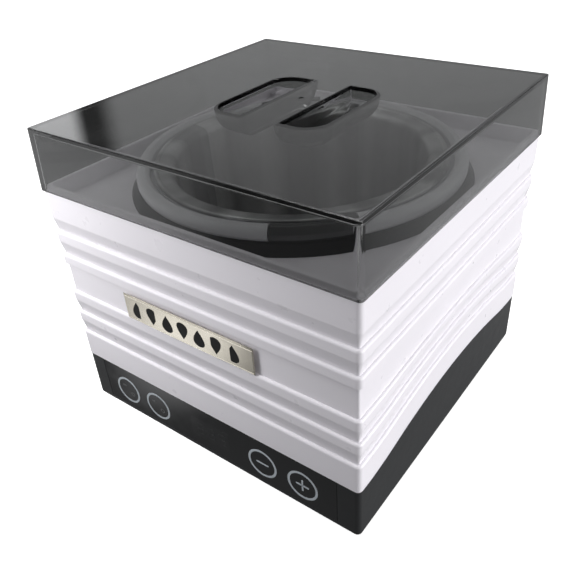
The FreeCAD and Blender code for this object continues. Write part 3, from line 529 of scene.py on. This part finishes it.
def bow(level):
    """Rise of the shell's lines at the middle of the side walls, fading out towards the top."""
    if level <= BOW_LEVELS[0][0]:
        return BOW_LEVELS[0][1]
    for (low, rise), (high, next_rise) in zip(BOW_LEVELS, BOW_LEVELS[1:]):
        if level < high:
            return rise + (next_rise - rise) * (level - low) / (high - low)
    return 0.0


def groove_corners(top):
    """Corners of one groove from its foot: rounded rib edge, seat, long slope."""
    seat_foot = top - GROOVE_SLOPE - GROOVE_SEAT
    return [(0, seat_foot, 1.95), (GROOVE_DEPTH, seat_foot, 0), (GROOVE_DEPTH, top - GROOVE_SLOPE, 0.8),
            (0, top, 1.6)]


def housing_shell():
    """White shell: ribs on its four sides, a lip, a sunken deck with a round hole, and four screw posts."""
    half = shell_high.x
    seam = shell_low.z
    corners = [(0, seam, 0.4)]
    for top in GROOVE_TOPS[:2]:
        corners += groove_corners(top)
    corners += [(0, SLOT_FOOT, 1.95), (GROOVE_DEPTH, SLOT_FOOT, 0), (GROOVE_DEPTH, SLOT_TOP - 0.3, 0.25),
                (0, SLOT_TOP, 0.7)]
    for top in GROOVE_TOPS[2:]:
        corners += groove_corners(top)
    corners += [(0, SHOULDER, 0.6), (half - LIP_OUTSIDE, SHOULDER, 0.3),
                (half - LIP_OUTSIDE, shell_high.z, 0.7), (half - LIP_INSIDE, shell_high.z, 0.7),
                (half - LIP_INSIDE, DECK_TOP, 1.6), (half - DECK_HOLE, DECK_TOP, 0)]
    profile = rounded(corners, open_ends=True)[1:-1]
    foot = rounded([(half - SHELL_INSIDE, seam, 0), (0, seam, 0.4), (0, seam + 3, 0)])[1:-1]
    rings = []
    for inset, level in foot + profile:
        corner = max(3.5 - inset, 1.4) if inset <= GROOVE_DEPTH + 0.01 else 2.6
        rings.append(square_ring(half - inset, corner, level, bow(level)))
    edge = rings[-1]
    rings += [circle_ring(DECK_HOLE + 0.4, DECK_TOP, edge), circle_ring(DECK_HOLE, DECK_TOP - 0.4, edge),
              circle_ring(DECK_HOLE, DECK_LOW, edge), square_ring(SHELL_INSIDE, 2.6, DECK_LOW),
              square_ring(SHELL_INSIDE, 2.6, seam, SEAM_RISE)]
    shell = loft("ribbed_shell", rings, joined=True, sharp=28)
    post = rounded([(0, seam, 0), (5, seam, 0.4), (5, DECK_LOW + 1, 0), (0, DECK_LOW + 1, 0)])
    combine(shell, [turned("post", post, centre, 32) for centre in SCREW_PLACES], "UNION")
    pilot = pin_outline(PILOT_RADIUS, seam - 1, seam + 20)
    combine(shell, [turned("pilot", pilot, centre, 24) for centre in SCREW_PLACES], "DIFFERENCE")
    finish_mesh(shell.data, 28)
    return even_shading(shell)


def base_tray():
    """Dark base: arched side edges, screw towers, the panel's window, the inlet's seat and vents."""
    half = base_high.x
    top = shell_low.z
    wall = 3.0
    floor = base_low.z
    profile = rounded([(20, floor, 0), (0, floor, 1.0), (0, top, 0.35), (wall, top, 0.35),
                       (wall, floor + wall, 0.8), (20, floor + wall, 0)], open_ends=True)
    rings = []
    for inset, level in profile:
        share = max(0.0, (level - floor - wall) / (top - floor - wall))
        rings.append(square_ring(half - inset, max(3.5 - inset, 1.5), level, SEAM_RISE * share))
    tray = loft("base_moulding", rings, sharp=30)
    towers = [turned("tower", pin_outline(5.5, floor + 1, top), centre, 32) for centre in SCREW_PLACES]
    middle, height = inlet_middle()
    pad = block("pad", (middle - 29, half - 2 * wall, height - 15), (middle + 29, half - 1, height + 15))
    combine(tray, towers + [pad], "UNION")
    rebate = rectangle_plan(middle - 25.3, height - 11.5, middle + 25.3, height + 11.5, 1.5)
    bore = rounded([(0, floor - 1, 0), (1.8, floor - 1, 0), (4.0, floor - 1, 0), (4.0, floor + 28, 0),
                    (1.8, floor + 28, 0), (1.8, top + 1, 0), (0, top + 1, 0)])
    cuts = [block("window", (panel_low.x - 0.2, -half - 2, panel_low.z - 0.2),
                  (panel_high.x + 0.2, -half + wall, top + 20)),
            bar_back("rebate", rebate, half - 2, half + 2),
            block("throat", (middle - 14, half - 12, height - 10.2),
                  (middle + 14, half + 1, height + 10.2))]
    cuts += [turned("counterbore", bore, centre, 32) for centre in SCREW_PLACES]
    for row in range(5):
        front = -70 + 9 * row
        for side in (-38, 38):
            cuts.append(block("vent", (side - 17, front, floor - 1),
                              (side + 17, front + 3, floor + wall + 1), 1.45))
    combine(tray, cuts, "DIFFERENCE")
    finish_mesh(tray.data, 30)
    return even_shading(tray)


def inlet_middle():
    """Across and up of the mains inlet's middle."""
    return (inlet_low.x + inlet_high.x) / 2, (inlet_low.z + inlet_high.z) / 2


KEY_PLACES = (-84.0, -51.5, 48.0, 81.0)
KEY_HEIGHT = 22.0
KEY_RADIUS = 12.0
KEY_LINE = 1.7
INLAY = 0.12


def control_fascia():
    """Touch panel with polished edges and, behind it, the four bosses for its board."""
    plan = rectangle_plan(panel_low.x, panel_low.z, panel_high.x, panel_high.z, 0.8)
    front = panel_low.y
    plate = bar_back("plate", plan, front, front + 3, 0.35)
    bosses = [bar_back("boss", disc_plan(side * 91, up, 3, 32), front + 2.5, panel_high.y)
              for side in (-1, 1) for up in (12.5, 35.5)]
    combine(plate, bosses, "UNION")
    plate.name = "touch_panel"
    finish_mesh(plate.data, 30)
    return even_shading(plate)


def inlay(name, plan, proud=INLAY):
    """Thin printed shape on the touch panel's front."""
    return bar_back(name, plan, panel_low.y - proud, panel_low.y + 0.2, min(0.05, proud / 2))


def ring_band(name, across, up, outside, line, front, back):
    """Flat ring facing the front."""
    section = [(outside, front), (outside - line, front), (outside - line, back), (outside, back)]
    steps = 96
    rings = []
    for step in range(steps):
        angle = FULL_TURN * step / steps
        rings.append([(across + radius * math.cos(angle), deep, up + radius * math.sin(angle))
                      for radius, deep in section])
    return loft(name, rings, joined=True)


def stroke(name, start, end, width):
    """Round-ended line of the printed symbols."""
    start, end = Vector(start), Vector(end)
    along = (end - start).normalized()
    side = Vector((-along.y, along.x))
    plan = []
    for centre, turn in ((end, 0), (start, math.pi)):
        for step in range(9):
            angle = turn - math.pi / 2 + math.pi * step / 8
            plan.append(centre + (along * math.cos(angle) + side * math.sin(angle)) * width / 2)
    return inlay(name, plan)


def lit_symbols():
    """Four key rings, and the minus and plus signs."""
    front, back = panel_low.y - INLAY, panel_low.y + 0.2
    parts = [ring_band("ring", across, KEY_HEIGHT, KEY_RADIUS, KEY_LINE, front, back)
             for across in KEY_PLACES]
    minus, plus = KEY_PLACES[2:]
    arm, width = 4.6, 1.3
    for name, middle in (("minus", minus), ("plus_flat", plus)):
        parts.append(stroke(name, (middle - arm, KEY_HEIGHT), (middle + arm, KEY_HEIGHT), width))
    for side in (-1, 1):
        near, far = KEY_HEIGHT + side * 0.6, KEY_HEIGHT + side * arm
        parts.append(stroke("plus_up", (plus, near), (plus, far), width))
    return join("key_marks", parts)


def dim_symbols():
    """Unlit symbols: two plain marks on each left key."""
    parts = []
    for across, arm in ((KEY_PLACES[0], 2.6), (KEY_PLACES[1], 2.0)):
        left, up = across - 5.0, KEY_HEIGHT + 3.4
        parts.append(stroke("mark_up", (left, up), (left + arm, up), 1.2))
        parts.append(ring_band("mark_round", across + 4.2, KEY_HEIGHT - 2.6, 2.0, 0.9,
                               panel_low.y - INLAY, panel_low.y + 0.2))
    return join("unlit_marks", parts)


def seven_segments(across, up, width, height):
    """The seven bars of one unlit digit."""
    half, tall, gap = width / 2, height / 2, 0.7
    bars = [((-half + gap, level), (half - gap, level)) for level in (-tall, 0, tall)]
    bars += [((side, level + gap), (side, level + tall - gap))
             for side in (-half, half) for level in (-tall, 0)]
    return [stroke("segment", (across + start[0], up + start[1]), (across + end[0], up + end[1]), 0.9)
            for start, end in bars]


def unlit_digits():
    """Segments of the display's three digits."""
    parts = []
    for place in (-8, 2, 12):
        parts += seven_segments(place, KEY_HEIGHT + 1, 5.6, 9.6)
    return join("unlit_digits", parts)


def display_window():
    """Dim pane over the display, let into the panel's front."""
    low, high = span("display_module")
    plan = rectangle_plan(low.x, low.z, high.x, high.z, 1.0)
    return inlay("display_window", plan, 0.04)


def nameplate():
    """Bowed metal badge with a bevelled edge and a fine groove inside it, on a pad in the shell's slot."""
    back = badge_high.y
    rear = -(shell_high.x + 0.1)
    low, high = badge_low.z, badge_high.z
    half = (badge_high.x - badge_low.x) / 2
    middle = (badge_high.x + badge_low.x) / 2
    bevel, sunk = 0.9, 0.65
    border = [(sunk, 0), (0, bevel), (0, bevel + 0.35), (0.3, bevel + 0.6), (0.3, bevel + 0.75),
              (0, bevel + 1.0)]

    def section(across, drop):
        """Outline at a place across the badge, its face set back by drop."""
        face = badge_front(across) + drop
        foot = [(face + deep, low + inset) for deep, inset in border]
        head = [(face + deep, high - inset) for deep, inset in reversed(border)]
        outline = [(rear, low)] + foot + head + [
            (rear, high), (rear, high - 0.7), (back, high - 0.7), (back, low + 1.5), (rear, low + 1.5)]
        return [(middle + across, min(deep, rear), up) for deep, up in outline]
    reach = half - bevel
    places = [(-half, sunk)] + [(reach * (step / 18 - 1), 0) for step in range(37)] + [(half, sunk)]
    return loft("badge_plate", [section(*numbers) for numbers in places], sharp=12)


def badge_front(across):
    """Depth of the badge's bowed face at a distance from its middle."""
    return badge_low.y + 0.35 * (2 * across / (badge_high.x - badge_low.x)) ** 2


def badge_motif():
    """Row of enamel drops along the badge, a plain ornament."""
    drops = []
    pitch = 14.0
    middle = (badge_high.x + badge_low.x) / 2
    up = (badge_low.z + badge_high.z) / 2
    for number in range(7):
        across = (number - 3.15) * pitch
        turn = 1 if number % 2 == 0 else -1
        plan = []
        steps = 40
        for step in range(steps):
            angle = FULL_TURN * step / steps
            pinch = math.sin(angle / 2) ** 1.3
            plan.append(Vector((middle + across + 6.6 * math.sin(angle) * pinch,
                                up + turn * 6.7 * math.cos(angle))))
        front = badge_front(across)
        drops.append(bar_back("drop", plan, front - 0.02, front + 0.4, 0.02))
    return join("badge_drops", drops)


# ---------- lid ----------

LID_DRAFT = math.tan(math.radians(2.2))
LID_WALL = 3.0
LID_TOP_WALL = 3.5
BAR_HALF = 15.5
CUP_FAR = 42.3
CUP_REACH = 41.0
CUP_DEPTH = 16.5
CUP_WALL = 2.5
CUP_CORNER = 15.0
CUP_ROUND = 12.0


def cup_ring(level, grow, inset):
    """D-shaped ring round a finger cup, straight on the bar's side."""
    near = BAR_HALF - grow + min(inset, 1.2)
    far = CUP_FAR + grow - inset
    reach = CUP_REACH + grow - inset
    corner = CUP_CORNER + grow - inset
    plan = rounded([(near, -reach, 0.7), (far, -reach, corner), (far, reach, corner), (near, reach, 0.7)],
                   steps=14)
    return [(point.x, point.y, level) for point in plan]


def finger_cup(name, side, low, top, grow, rounding, flare=0.0):
    """Solid in the shape of a finger cup, with a rounded bottom and, for the opening, a flared mouth."""
    rings = []
    steps = 10
    for step in range(steps + 1):
        angle = math.pi / 2 * step / steps
        level = low + rounding * (1 - math.cos(angle))
        rings.append(cup_ring(level, grow, rounding * (1 - math.sin(angle))))
    if flare:
        for step in range(5):
            angle = math.pi / 2 * step / 4
            level = lid_high.z - flare + flare * math.sin(angle)
            rings.append(cup_ring(level, grow, -flare * (1 - math.cos(angle))))
    rings.append(cup_ring(top, grow, -flare))
    return loft(name, [[(side * point[0], point[1], point[2]) for point in ring] for ring in rings])


def lid_cover():
    """Smoked lid: a drafted box open below, two finger cups with a bar between them, and a gate mark."""
    low, top = lid_low.z, lid_high.z
    half = lid_high.x
    outside = rounded([(half - 5, low, 0), (half, low, 0.3), (half - (top - low) * LID_DRAFT, top, 0.7),
                       (half - 12, top, 0)], open_ends=True)[1:-1]
    rings = [square_ring(out, max(2.5 - (half - out), 1.2), level) for out, level in outside]
    cover = loft("smoked_cover", rings, sharp=30)
    under = top - LID_TOP_WALL
    inner = half - LID_WALL
    room = rounded([(inner + LID_DRAFT, low - 1, 0), (inner - (under - low) * LID_DRAFT, under, 1.0),
                    (inner - 12, under, 0)], open_ends=True)[:-1]
    cavity = loft("cavity", [square_ring(out, 2.5, level) for out, level in room])
    combine(cover, [cavity], "DIFFERENCE")
    cup_low = top - CUP_DEPTH
    skins = [finger_cup("skin", side, cup_low - CUP_WALL, top - 1, CUP_WALL, CUP_ROUND + CUP_WALL)
             for side in (-1, 1)]
    combine(cover, skins, "UNION")
    holes = [finger_cup("hole", side, cup_low, top + 1, 0, CUP_ROUND, 0.6) for side in (-1, 1)]
    gate = turned("gate", rounded([(0, top - 0.5, 0), (1.6, top - 0.5, 0.2), (2.2, top + 0.5, 0),
                                   (0, top + 0.5, 0)]), (0, 4), 32)
    combine(cover, holes + [gate], "DIFFERENCE")
    finish_mesh(cover.data, 30)
    return even_shading(cover)


# ---------- pot, collar and well ----------

def wax_pot():
    """Removable pot with slightly drafted walls, a flat flange and a rolled rim."""
    wall = 2.0
    top, low = pot_high.z, pot_low.z
    mouth, waist, foot = 86.3, 82.3, 82.3
    rim = pot_high.x
    outline = rounded([
        (0, low, 0), (foot + wall, low, 13), (waist + wall, low + 14, 0), (mouth + wall, top - wall, 0.6),
        (rim - 4.2, top - wall, 0.4), (rim - 4.2, top - 3.2, 0.5), (rim, top - 3.2, 1.4), (rim, top, 1.3),
        (rim - 2.6, top, 1.2), (rim - 3.3, top - 0.8, 0.4), (mouth, top - 0.8, 5.5),
        (waist, low + wall + 12, 0), (foot, low + wall, 11), (0, low + wall, 0)], steps=8)
    return turned("spun_pot", outline, sharp=34)


def collar_corners():
    """Outline of the raised ring, from its outer foot round to its inner lip, which slopes inwards."""
    low, high = collar_low.z, collar_high.z
    outside = 111.0
    return [(outside, low, 3.6), (outside, high, 4.2), (104.8, high, 2.4), (102.2, high - 2.4, 0.8)]


GRIP_TURN = math.radians(-50.2)
GRIP_HALF = math.radians(13.25)
GAP_HALF = math.radians(13.4)
WEB_TOP = 186.4


def pot_collar():
    """Heat-proof collar: its raised ring, a groove inside it, and the web under the pot's rim."""
    web = 89.5
    groove = WEB_TOP - 2.4
    outline = rounded([(web, collar_low.z, 0.4)] + collar_corners() + [
        (102.2, groove, 0.3), (99.8, groove, 0.3), (99.8, WEB_TOP, 0.2), (web, WEB_TOP, 0.4)], steps=8)
    collar = turned("heat_proof_collar", outline)
    gap = [Vector(point) for point in ((101.2, 180), (118, 180), (118, 192), (101.2, 192))]
    gaps = [turned("gap", gap, steps=16, start=GRIP_TURN + turn - GAP_HALF, sweep=2 * GAP_HALF)
            for turn in (0, math.pi)]
    combine(collar, gaps, "DIFFERENCE")
    finish_mesh(collar.data, 34)
    return even_shading(collar)


def pot_grip(name, turn):
    """Dark grip let into the collar, its ends eased. A crease parts its top from its outer face."""
    low, high = collar_low.z, collar_high.z
    outline = rounded([(101.4, low, 0), (111, low, 3.0), (110.9, high - 4.2, 1.2), (107.6, high - 0.4, 1.4),
                       (103.6, high - 0.2, 1.2), (102.2, high - 2.4, 0.6), (101.4, high - 2.6, 0)], steps=6)
    grip = turned(name, outline, steps=40, start=GRIP_TURN + turn - GRIP_HALF, sweep=2 * GRIP_HALF)
    ease_edges(grip, 0.5, 3, 60, 34)
    return even_shading(grip)


def well_trim_ring():
    """Dark ring round the deck's hole, with a sleeve down through it."""
    low, top = trim_low.z, trim_high.z
    outline = rounded([
        (98, low, 0.3), (107.6, low, 0.3), (107.6, 175, 0), (116.2, 175, 0.2), (110.2, top, 2.4),
        (104.6, top, 0.6), (104.6, 178.5, 0.2), (98, 178.5, 0.5)], steps=6)
    return turned("mouth_trim", outline, sharp=34)


def heating_well():
    """Drawn well that the pot stands in, with a flange under the trim ring."""
    low, top = well_low.z, well_high.z
    outline = rounded([
        (0, low, 0), (87.5, low, 13), (87.5, low + 12, 0), (91.5, 179, 0.5), (104.3, 179, 0.3),
        (104.3, top, 0.4), (90, top, 1.2), (86, low + 12, 0), (86, low + 1.5, 11), (0, low + 1.5, 0)],
        steps=8)
    return turned("drawn_well", outline, sharp=34)


# ---------- small pieces ----------

def rubber_feet():
    """Four feet, each with a hollow sole and a barbed stem."""
    radius = 9
    reach = span("rubber_feet")[1].x - radius
    outline = rounded([(0, 0.7, 0), (4.5, 0.7, 0.3), (5.5, 0, 0.4), (radius, 0, 0.7), (8.7, 1.98, 0.2),
                       (3, 1.98, 0), (3, 5.0, 0), (3.8, 5.1, 0.3), (3, 6.5, 0.6), (0, 6.5, 0)])
    return join("feet_moulded", [turned("foot", outline, (across, deep), 48)
                                 for across in (-reach, reach) for deep in (-reach, reach)])


def mains_inlet():
    """Rear inlet: flange, socket with cut corners, and its body inside the base."""
    middle, height = inlet_middle()
    back = inlet_high.y
    flange = bar_back("flange", rectangle_plan(middle - 25, height - 11.2, middle + 25, height + 11.2, 1.3),
                      back - 2, back)
    body = block("body", (middle - 13.7, inlet_low.y, height - 10),
                 (middle + 13.7, back - 0.5, height + 10))
    combine(flange, [body], "UNION")
    corner = 5.0
    socket = [Vector(point) for point in (
        (middle - 12, height - 8.2), (middle + 12, height - 8.2), (middle + 12, height + 8.2 - corner),
        (middle + 12 - corner, height + 8.2), (middle - 12 + corner, height + 8.2),
        (middle - 12, height + 8.2 - corner))]
    holes = [bar_back("socket", socket, back - 17, back + 1)]
    holes += [bar_back("ear", disc_plan(middle + side * 20, height, 1.6, 24), back - 3, back + 1)
              for side in (-1, 1)]
    combine(flange, holes, "DIFFERENCE")
    flange.name = "inlet_moulding"
    ease_edges(flange, 0.3, 2, 50, 34)
    return even_shading(flange)


def inlet_screws():
    """Two pan heads with a cross recess, facing the back."""
    middle, height = inlet_middle()
    seat = inlet_high.y
    screws = []
    for side in (-1, 1):
        across = middle + side * 20
        outline = rounded([(0, 1.2, 0), (1.6, 1.2, 0.6), (2.8, 0.4, 0.3), (2.8, 0, 0), (1.5, 0, 0),
                           (1.5, -5.8, 0.3), (0, -5.8, 0)])
        rings = []
        steps = 32
        for step in range(steps):
            angle = FULL_TURN * step / steps
            rings.append([(across + out * math.cos(angle), seat + deep, height + out * math.sin(angle))
                          for out, deep in outline])
        head = loft("screw", rings, joined=True)
        arms = [bar_back("arm", rectangle_plan(across - wide, height - tall, across + wide, height + tall),
                         seat + 0.5, seat + 2) for wide, tall in ((0.35, 1.5), (1.5, 0.35))]
        combine(head, arms, "DIFFERENCE")
        screws.append(head)
    return join("inlet_screw_heads", screws)


# ---------- finishes ----------

record_slots = {entry["slot"]: tuple(entry["base_color"][:3]) for entry in frame["record"]["materials"]}

FINISHES = {
    "white_shell": moulded("white_abs", (0.825, 0.80, 0.845), (0.27, 0.33), 1500, 0.0015, 0.02, wave=9,
                           wave_depth=0.02),
    "dark_base": moulded("satin_black_base", (0.021, 0.022, 0.023), (0.38, 0.46), 2600, 0.02, 0.08,
                         gloss=0.35),
    "touch_glass": moulded("gloss_black_panel", (0.008, 0.0085, 0.009), (0.05, 0.12), 500, 0.001, 0.3),
    "badge_metal": brushed_metal("champagne_nickel", (0.80, 0.75, 0.64), (0.15, 0.2), 4200, 0.001, 0.85),
    "smoked_lid": smoked_acrylic("smoked_acrylic"),
    "pot_aluminium": spun_metal("spun_aluminium", (0.68, 0.68, 0.69), (0.33, 0.40), 700, 0.002, 2.5),
    "collar_plastic": moulded("grey_collar", (0.62, 0.62, 0.64), (0.28, 0.38), 1800, 0.008, 0.05),
    "grip_plastic": moulded("polished_black_grip", (0.035, 0.035, 0.036), (0.2, 0.26), 700, 0.003, 0.1,
                            gloss=1.0),
    "trim_plastic": moulded("polished_black_trim", (0.008, 0.008, 0.009), (0.12, 0.2), 900, 0.003, 0.1,
                            gloss=0.12),
    "well_aluminium": spun_metal("drawn_aluminium", (0.6, 0.6, 0.61), (0.34, 0.42), 700, 0.003, 3.0),
    "foot_rubber": moulded("foot_rubber_black", (0.03, 0.03, 0.03), (0.75, 0.92), 1400, 0.05, 0.25),
    "plated_steel": moulded("zinc_plate", record_slots["plated_steel"], (0.25, 0.4), 900, 0.008, 0.15,
                            metallic=1.0),
    "heater_silicone": moulded("heater_sheet", record_slots["heater_silicone"], (0.55, 0.7), 600, 0.08,
                               0.2),
    "insulation_felt": felt("ceramic_felt", record_slots["insulation_felt"]),
    "gasket_silicone": moulded("silicone_gasket", record_slots["gasket_silicone"], (0.5, 0.65), 900, 0.02,
                               0.1),
    "circuit_board": moulded("solder_mask", record_slots["circuit_board"], (0.25, 0.4), 800, 0.02, 0.3),
    "fuse_glass": moulded("fuse_tube", record_slots["fuse_glass"], (0.08, 0.16), 500, 0.004, 0.1, coat=0.5),
    "brass_contact": moulded("plated_brass", record_slots["brass_contact"], (0.2, 0.34), 700, 0.006, 0.2,
                             metallic=1.0),
}
for slot_name, colour in record_slots.items():
    if slot_name not in FINISHES:
        FINISHES[slot_name] = moulded(f"{slot_name}_finish", colour, (0.38, 0.55), 1300, 0.02, 0.18)

print_grey = moulded("printed_marks", (0.50, 0.54, 0.58), (0.4, 0.55), 1600, 0.004, 0.08)
unlit_grey = moulded("unlit_marks_grey", (0.09, 0.092, 0.095), (0.18, 0.3), 900, 0.002, 0.2)
dim_grey = moulded("unlit_digits_grey", (0.018, 0.019, 0.02), (0.1, 0.18), 900, 0.002, 0.2)
dim_pane = moulded("display_pane", (0.0105, 0.011, 0.0115), (0.08, 0.15), 600, 0.001, 0.3)
enamel = moulded("black_enamel", (0.012, 0.012, 0.012), (0.28, 0.38), 600, 0.006, 0.3, gloss=0.12)


# ---------- assembly ----------

def dress_frame():
    """Gives every CAD node the finish of its own slot."""
    for node in frame["nodes"].values():
        for material_slot in node.material_slots:
            material_slot.material = FINISHES[material_slot.material.name.split(".")[0]]


dress_frame()
place(housing_shell(), "root", "white_shell", FINISHES["white_shell"], "housing_shell")
place(base_tray(), "root", "dark_base", FINISHES["dark_base"], "base_tray")
place(control_fascia(), "root", "touch_glass", FINISHES["touch_glass"], "control_fascia")
place(lit_symbols(), "root", "touch_glass", print_grey)
place(dim_symbols(), "root", "touch_glass", unlit_grey)
place(unlit_digits(), "root", "touch_glass", dim_grey)
place(display_window(), "root", "touch_glass", dim_pane)
place(nameplate(), "root", "badge_metal", FINISHES["badge_metal"], "nameplate")
place(badge_motif(), "root", "badge_metal", enamel)
place(lid_cover(), "lid", "smoked_lid", FINISHES["smoked_lid"], "lid_cover")
place(wax_pot(), "pot", "pot_aluminium", FINISHES["pot_aluminium"], "wax_pot")
place(pot_collar(), "pot", "collar_plastic", FINISHES["collar_plastic"], "pot_collar")
place(pot_grip("near_grip", 0), "pot", "grip_plastic", FINISHES["grip_plastic"], "front_grip")
place(pot_grip("far_grip", math.pi), "pot", "grip_plastic", FINISHES["grip_plastic"], "rear_grip")
place(well_trim_ring(), "root", "trim_plastic", FINISHES["trim_plastic"], "well_trim_ring")
place(heating_well(), "root", "well_aluminium", FINISHES["well_aluminium"], "heating_well")
place(rubber_feet(), "root", "foot_rubber", FINISHES["foot_rubber"], "rubber_feet")
place(mains_inlet(), "root", "black_component", FINISHES["black_component"], "mains_inlet")
place(inlet_screws(), "root", "plated_steel", FINISHES["plated_steel"], "inlet_screws")


# ---------- floor, light and camera ----------

def make_floor():
    """Plain pale floor. It takes shadows, but the object is lit and mirrored by the studio alone."""
    made, tree, shader, coordinates = new_finish("pale_floor")
    cloud = noise(tree, coordinates, 3, 3)
    tree.links.new(blend_colours(tree, spread(tree, cloud, 0, 1), (0.88, 0.88, 0.88), (0.9, 0.9, 0.9)),
                   shader.inputs["Base Color"])
    shader.inputs["Roughness"].default_value = 0.9
    shader.inputs["Emission Color"].default_value = (1, 1, 1, 1)
    shader.inputs["Emission Strength"].default_value = 0.7
    reach = 6000
    points = [(-reach, -reach, 0), (reach, -reach, 0), (reach, reach, 0), (-reach, reach, 0)]
    floor = piece_from("floor", points, [(0, 1, 2, 3)])
    floor.data.materials.append(made)
    floor.visible_diffuse = False
    floor.visible_glossy = False
    floor.visible_transmission = False
    floor.visible_shadow = False


def soft_light(name, place_at, aim, size, power):
    """Soft box at a place, aimed at a point. Power is in watts."""
    data = bpy.data.lights.new(name, "AREA")
    data.shape = "RECTANGLE"
    data.size, data.size_y = size[0] * MM, size[1] * MM
    data.energy = power
    lamp = bpy.data.objects.new(name, data)
    bpy.context.scene.collection.objects.link(lamp)
    lamp.location = Vector(place_at) * MM
    lamp.rotation_mode = "QUATERNION"
    lamp.rotation_quaternion = (Vector(aim) * MM - lamp.location).to_track_quat("-Z", "Y")
    lamp.visible_camera = False
    return lamp


ROOM_LEVEL = 0.04
ROOM_GLOWS = (
    ((-0.60, 0.72, 0.34), 25, 60, 0.36),
    ((0.24, 0.94, -0.25), 8, 28, 0.35),
    ((-0.84, -0.46, -0.30), 5, 20, 0.8),
    ((-0.67, -0.56, 0.49), 10, 26, 0.7),
    ((-0.61, -0.51, -0.60), 2, 7, 1.1),
    ((1.0, 0.20, 0.30), 25, 66, 0.6),
    ((0.0, 0.0, -1.0), 40, 95, 0.13),
    ((-0.25, -0.05, 0.95), 12, 48, 0.8),
)
WINDOW_AIM = (-0.82, 0.50, 0.28)
WINDOW_TURN = math.radians(144.7)


def make_room():
    """Studio room: broad soft glows, each given as (direction, half angle of its even part, half angle of
    the whole, level), and a bright window on the back left behind a narrow dark upright. The camera itself
    sees plain white beyond the floor."""
    world = bpy.data.worlds.new("studio")
    bpy.context.scene.world = world
    world.use_nodes = True
    tree = world.node_tree
    direction = tree.nodes.new("ShaderNodeTexCoord").outputs["Generated"]

    def along(aim):
        """Cosine of the angle between the ray and a direction."""
        node = tree.nodes.new("ShaderNodeVectorMath")
        node.operation = "DOT_PRODUCT"
        node.inputs[1].default_value = Vector(aim).normalized()
        tree.links.new(direction, node.inputs[0])
        return node.outputs["Value"]

    def glow(aim, inner, outer, level):
        """Round glow, even up to the inner half angle and gone at the outer one."""
        return swell(tree, along(aim), math.cos(math.radians(outer)), math.cos(math.radians(inner)), level)
    sideways = along((-math.sin(WINDOW_TURN), math.cos(WINDOW_TURN), 0))
    wall = combined(tree, "MULTIPLY", glow(*ROOM_GLOWS[0]), swell(tree, sideways, -0.008, -0.045, 1))
    pane = swell(tree, sideways, 0.004, 0.03, 1.5)
    window = combined(tree, "MULTIPLY", glow(WINDOW_AIM, 8, 14, 1), pane)
    total = combined(tree, "ADD", combined(tree, "ADD", wall, window), ROOM_LEVEL)
    for numbers in ROOM_GLOWS[1:]:
        total = combined(tree, "ADD", total, glow(*numbers))
    seen = tree.nodes.new("ShaderNodeLightPath").outputs["Is Camera Ray"]
    total = combined(tree, "MAXIMUM", total, seen)
    background = tree.nodes["Background"]
    background.inputs["Color"].default_value = (0.98, 0.985, 1.0, 1)
    tree.links.new(total, background.inputs["Strength"])


def make_light():
    """Soft boxes: a broad one on the right, two above, and two that only fill."""
    lamps = [
        soft_light("right_box", (1330, 260, 220), (0, 0, 120), (1300, 1300), 17),
        soft_light("high_box", (-450, -400, 1300), (0, 0, 180), (350, 350), 2.0),
        soft_light("top_box", (-200, 0, 1500), (0, 0, 150), (1200, 1200), 5.5),
        soft_light("back_fill", (150, 620, 620), (0, 60, 170), (500, 400), 1.6),
        soft_light("left_fill", (-235, -320, 270), (-110, -125, 165), (160, 200), 0.90),
    ]
    for lamp in lamps:
        lamp.visible_transmission = False
    for lamp in lamps[3:]:
        lamp.visible_glossy = False


CAMERA_PLACE = Vector((255.5, -343.6, 364.2))
CAMERA_TURN = math.radians(38.59)
CAMERA_TILT = math.radians(33.85)
CAMERA_ROLL = math.radians(-3.849)
CAMERA_LENS = 41.06


def make_camera():
    """Camera in front and to the right, looking down at the object, with a slight roll."""
    data = bpy.data.cameras.new("camera")
    data.sensor_width = 36
    data.lens = CAMERA_LENS
    data.clip_start = 0.01
    camera = bpy.data.objects.new("camera", data)
    bpy.context.scene.collection.objects.link(camera)
    camera.location = CAMERA_PLACE * MM
    turn = (Matrix.Rotation(CAMERA_TURN, 3, "Z") @ Matrix.Rotation(math.pi / 2 - CAMERA_TILT, 3, "X")
            @ Matrix.Rotation(CAMERA_ROLL, 3, "Z"))
    camera.rotation_mode = "QUATERNION"
    camera.rotation_quaternion = turn.to_quaternion()
    bpy.context.scene.camera = camera


make_floor()
make_room()
make_light()
make_camera()
bpy.context.scene.view_settings.view_transform = "Standard"
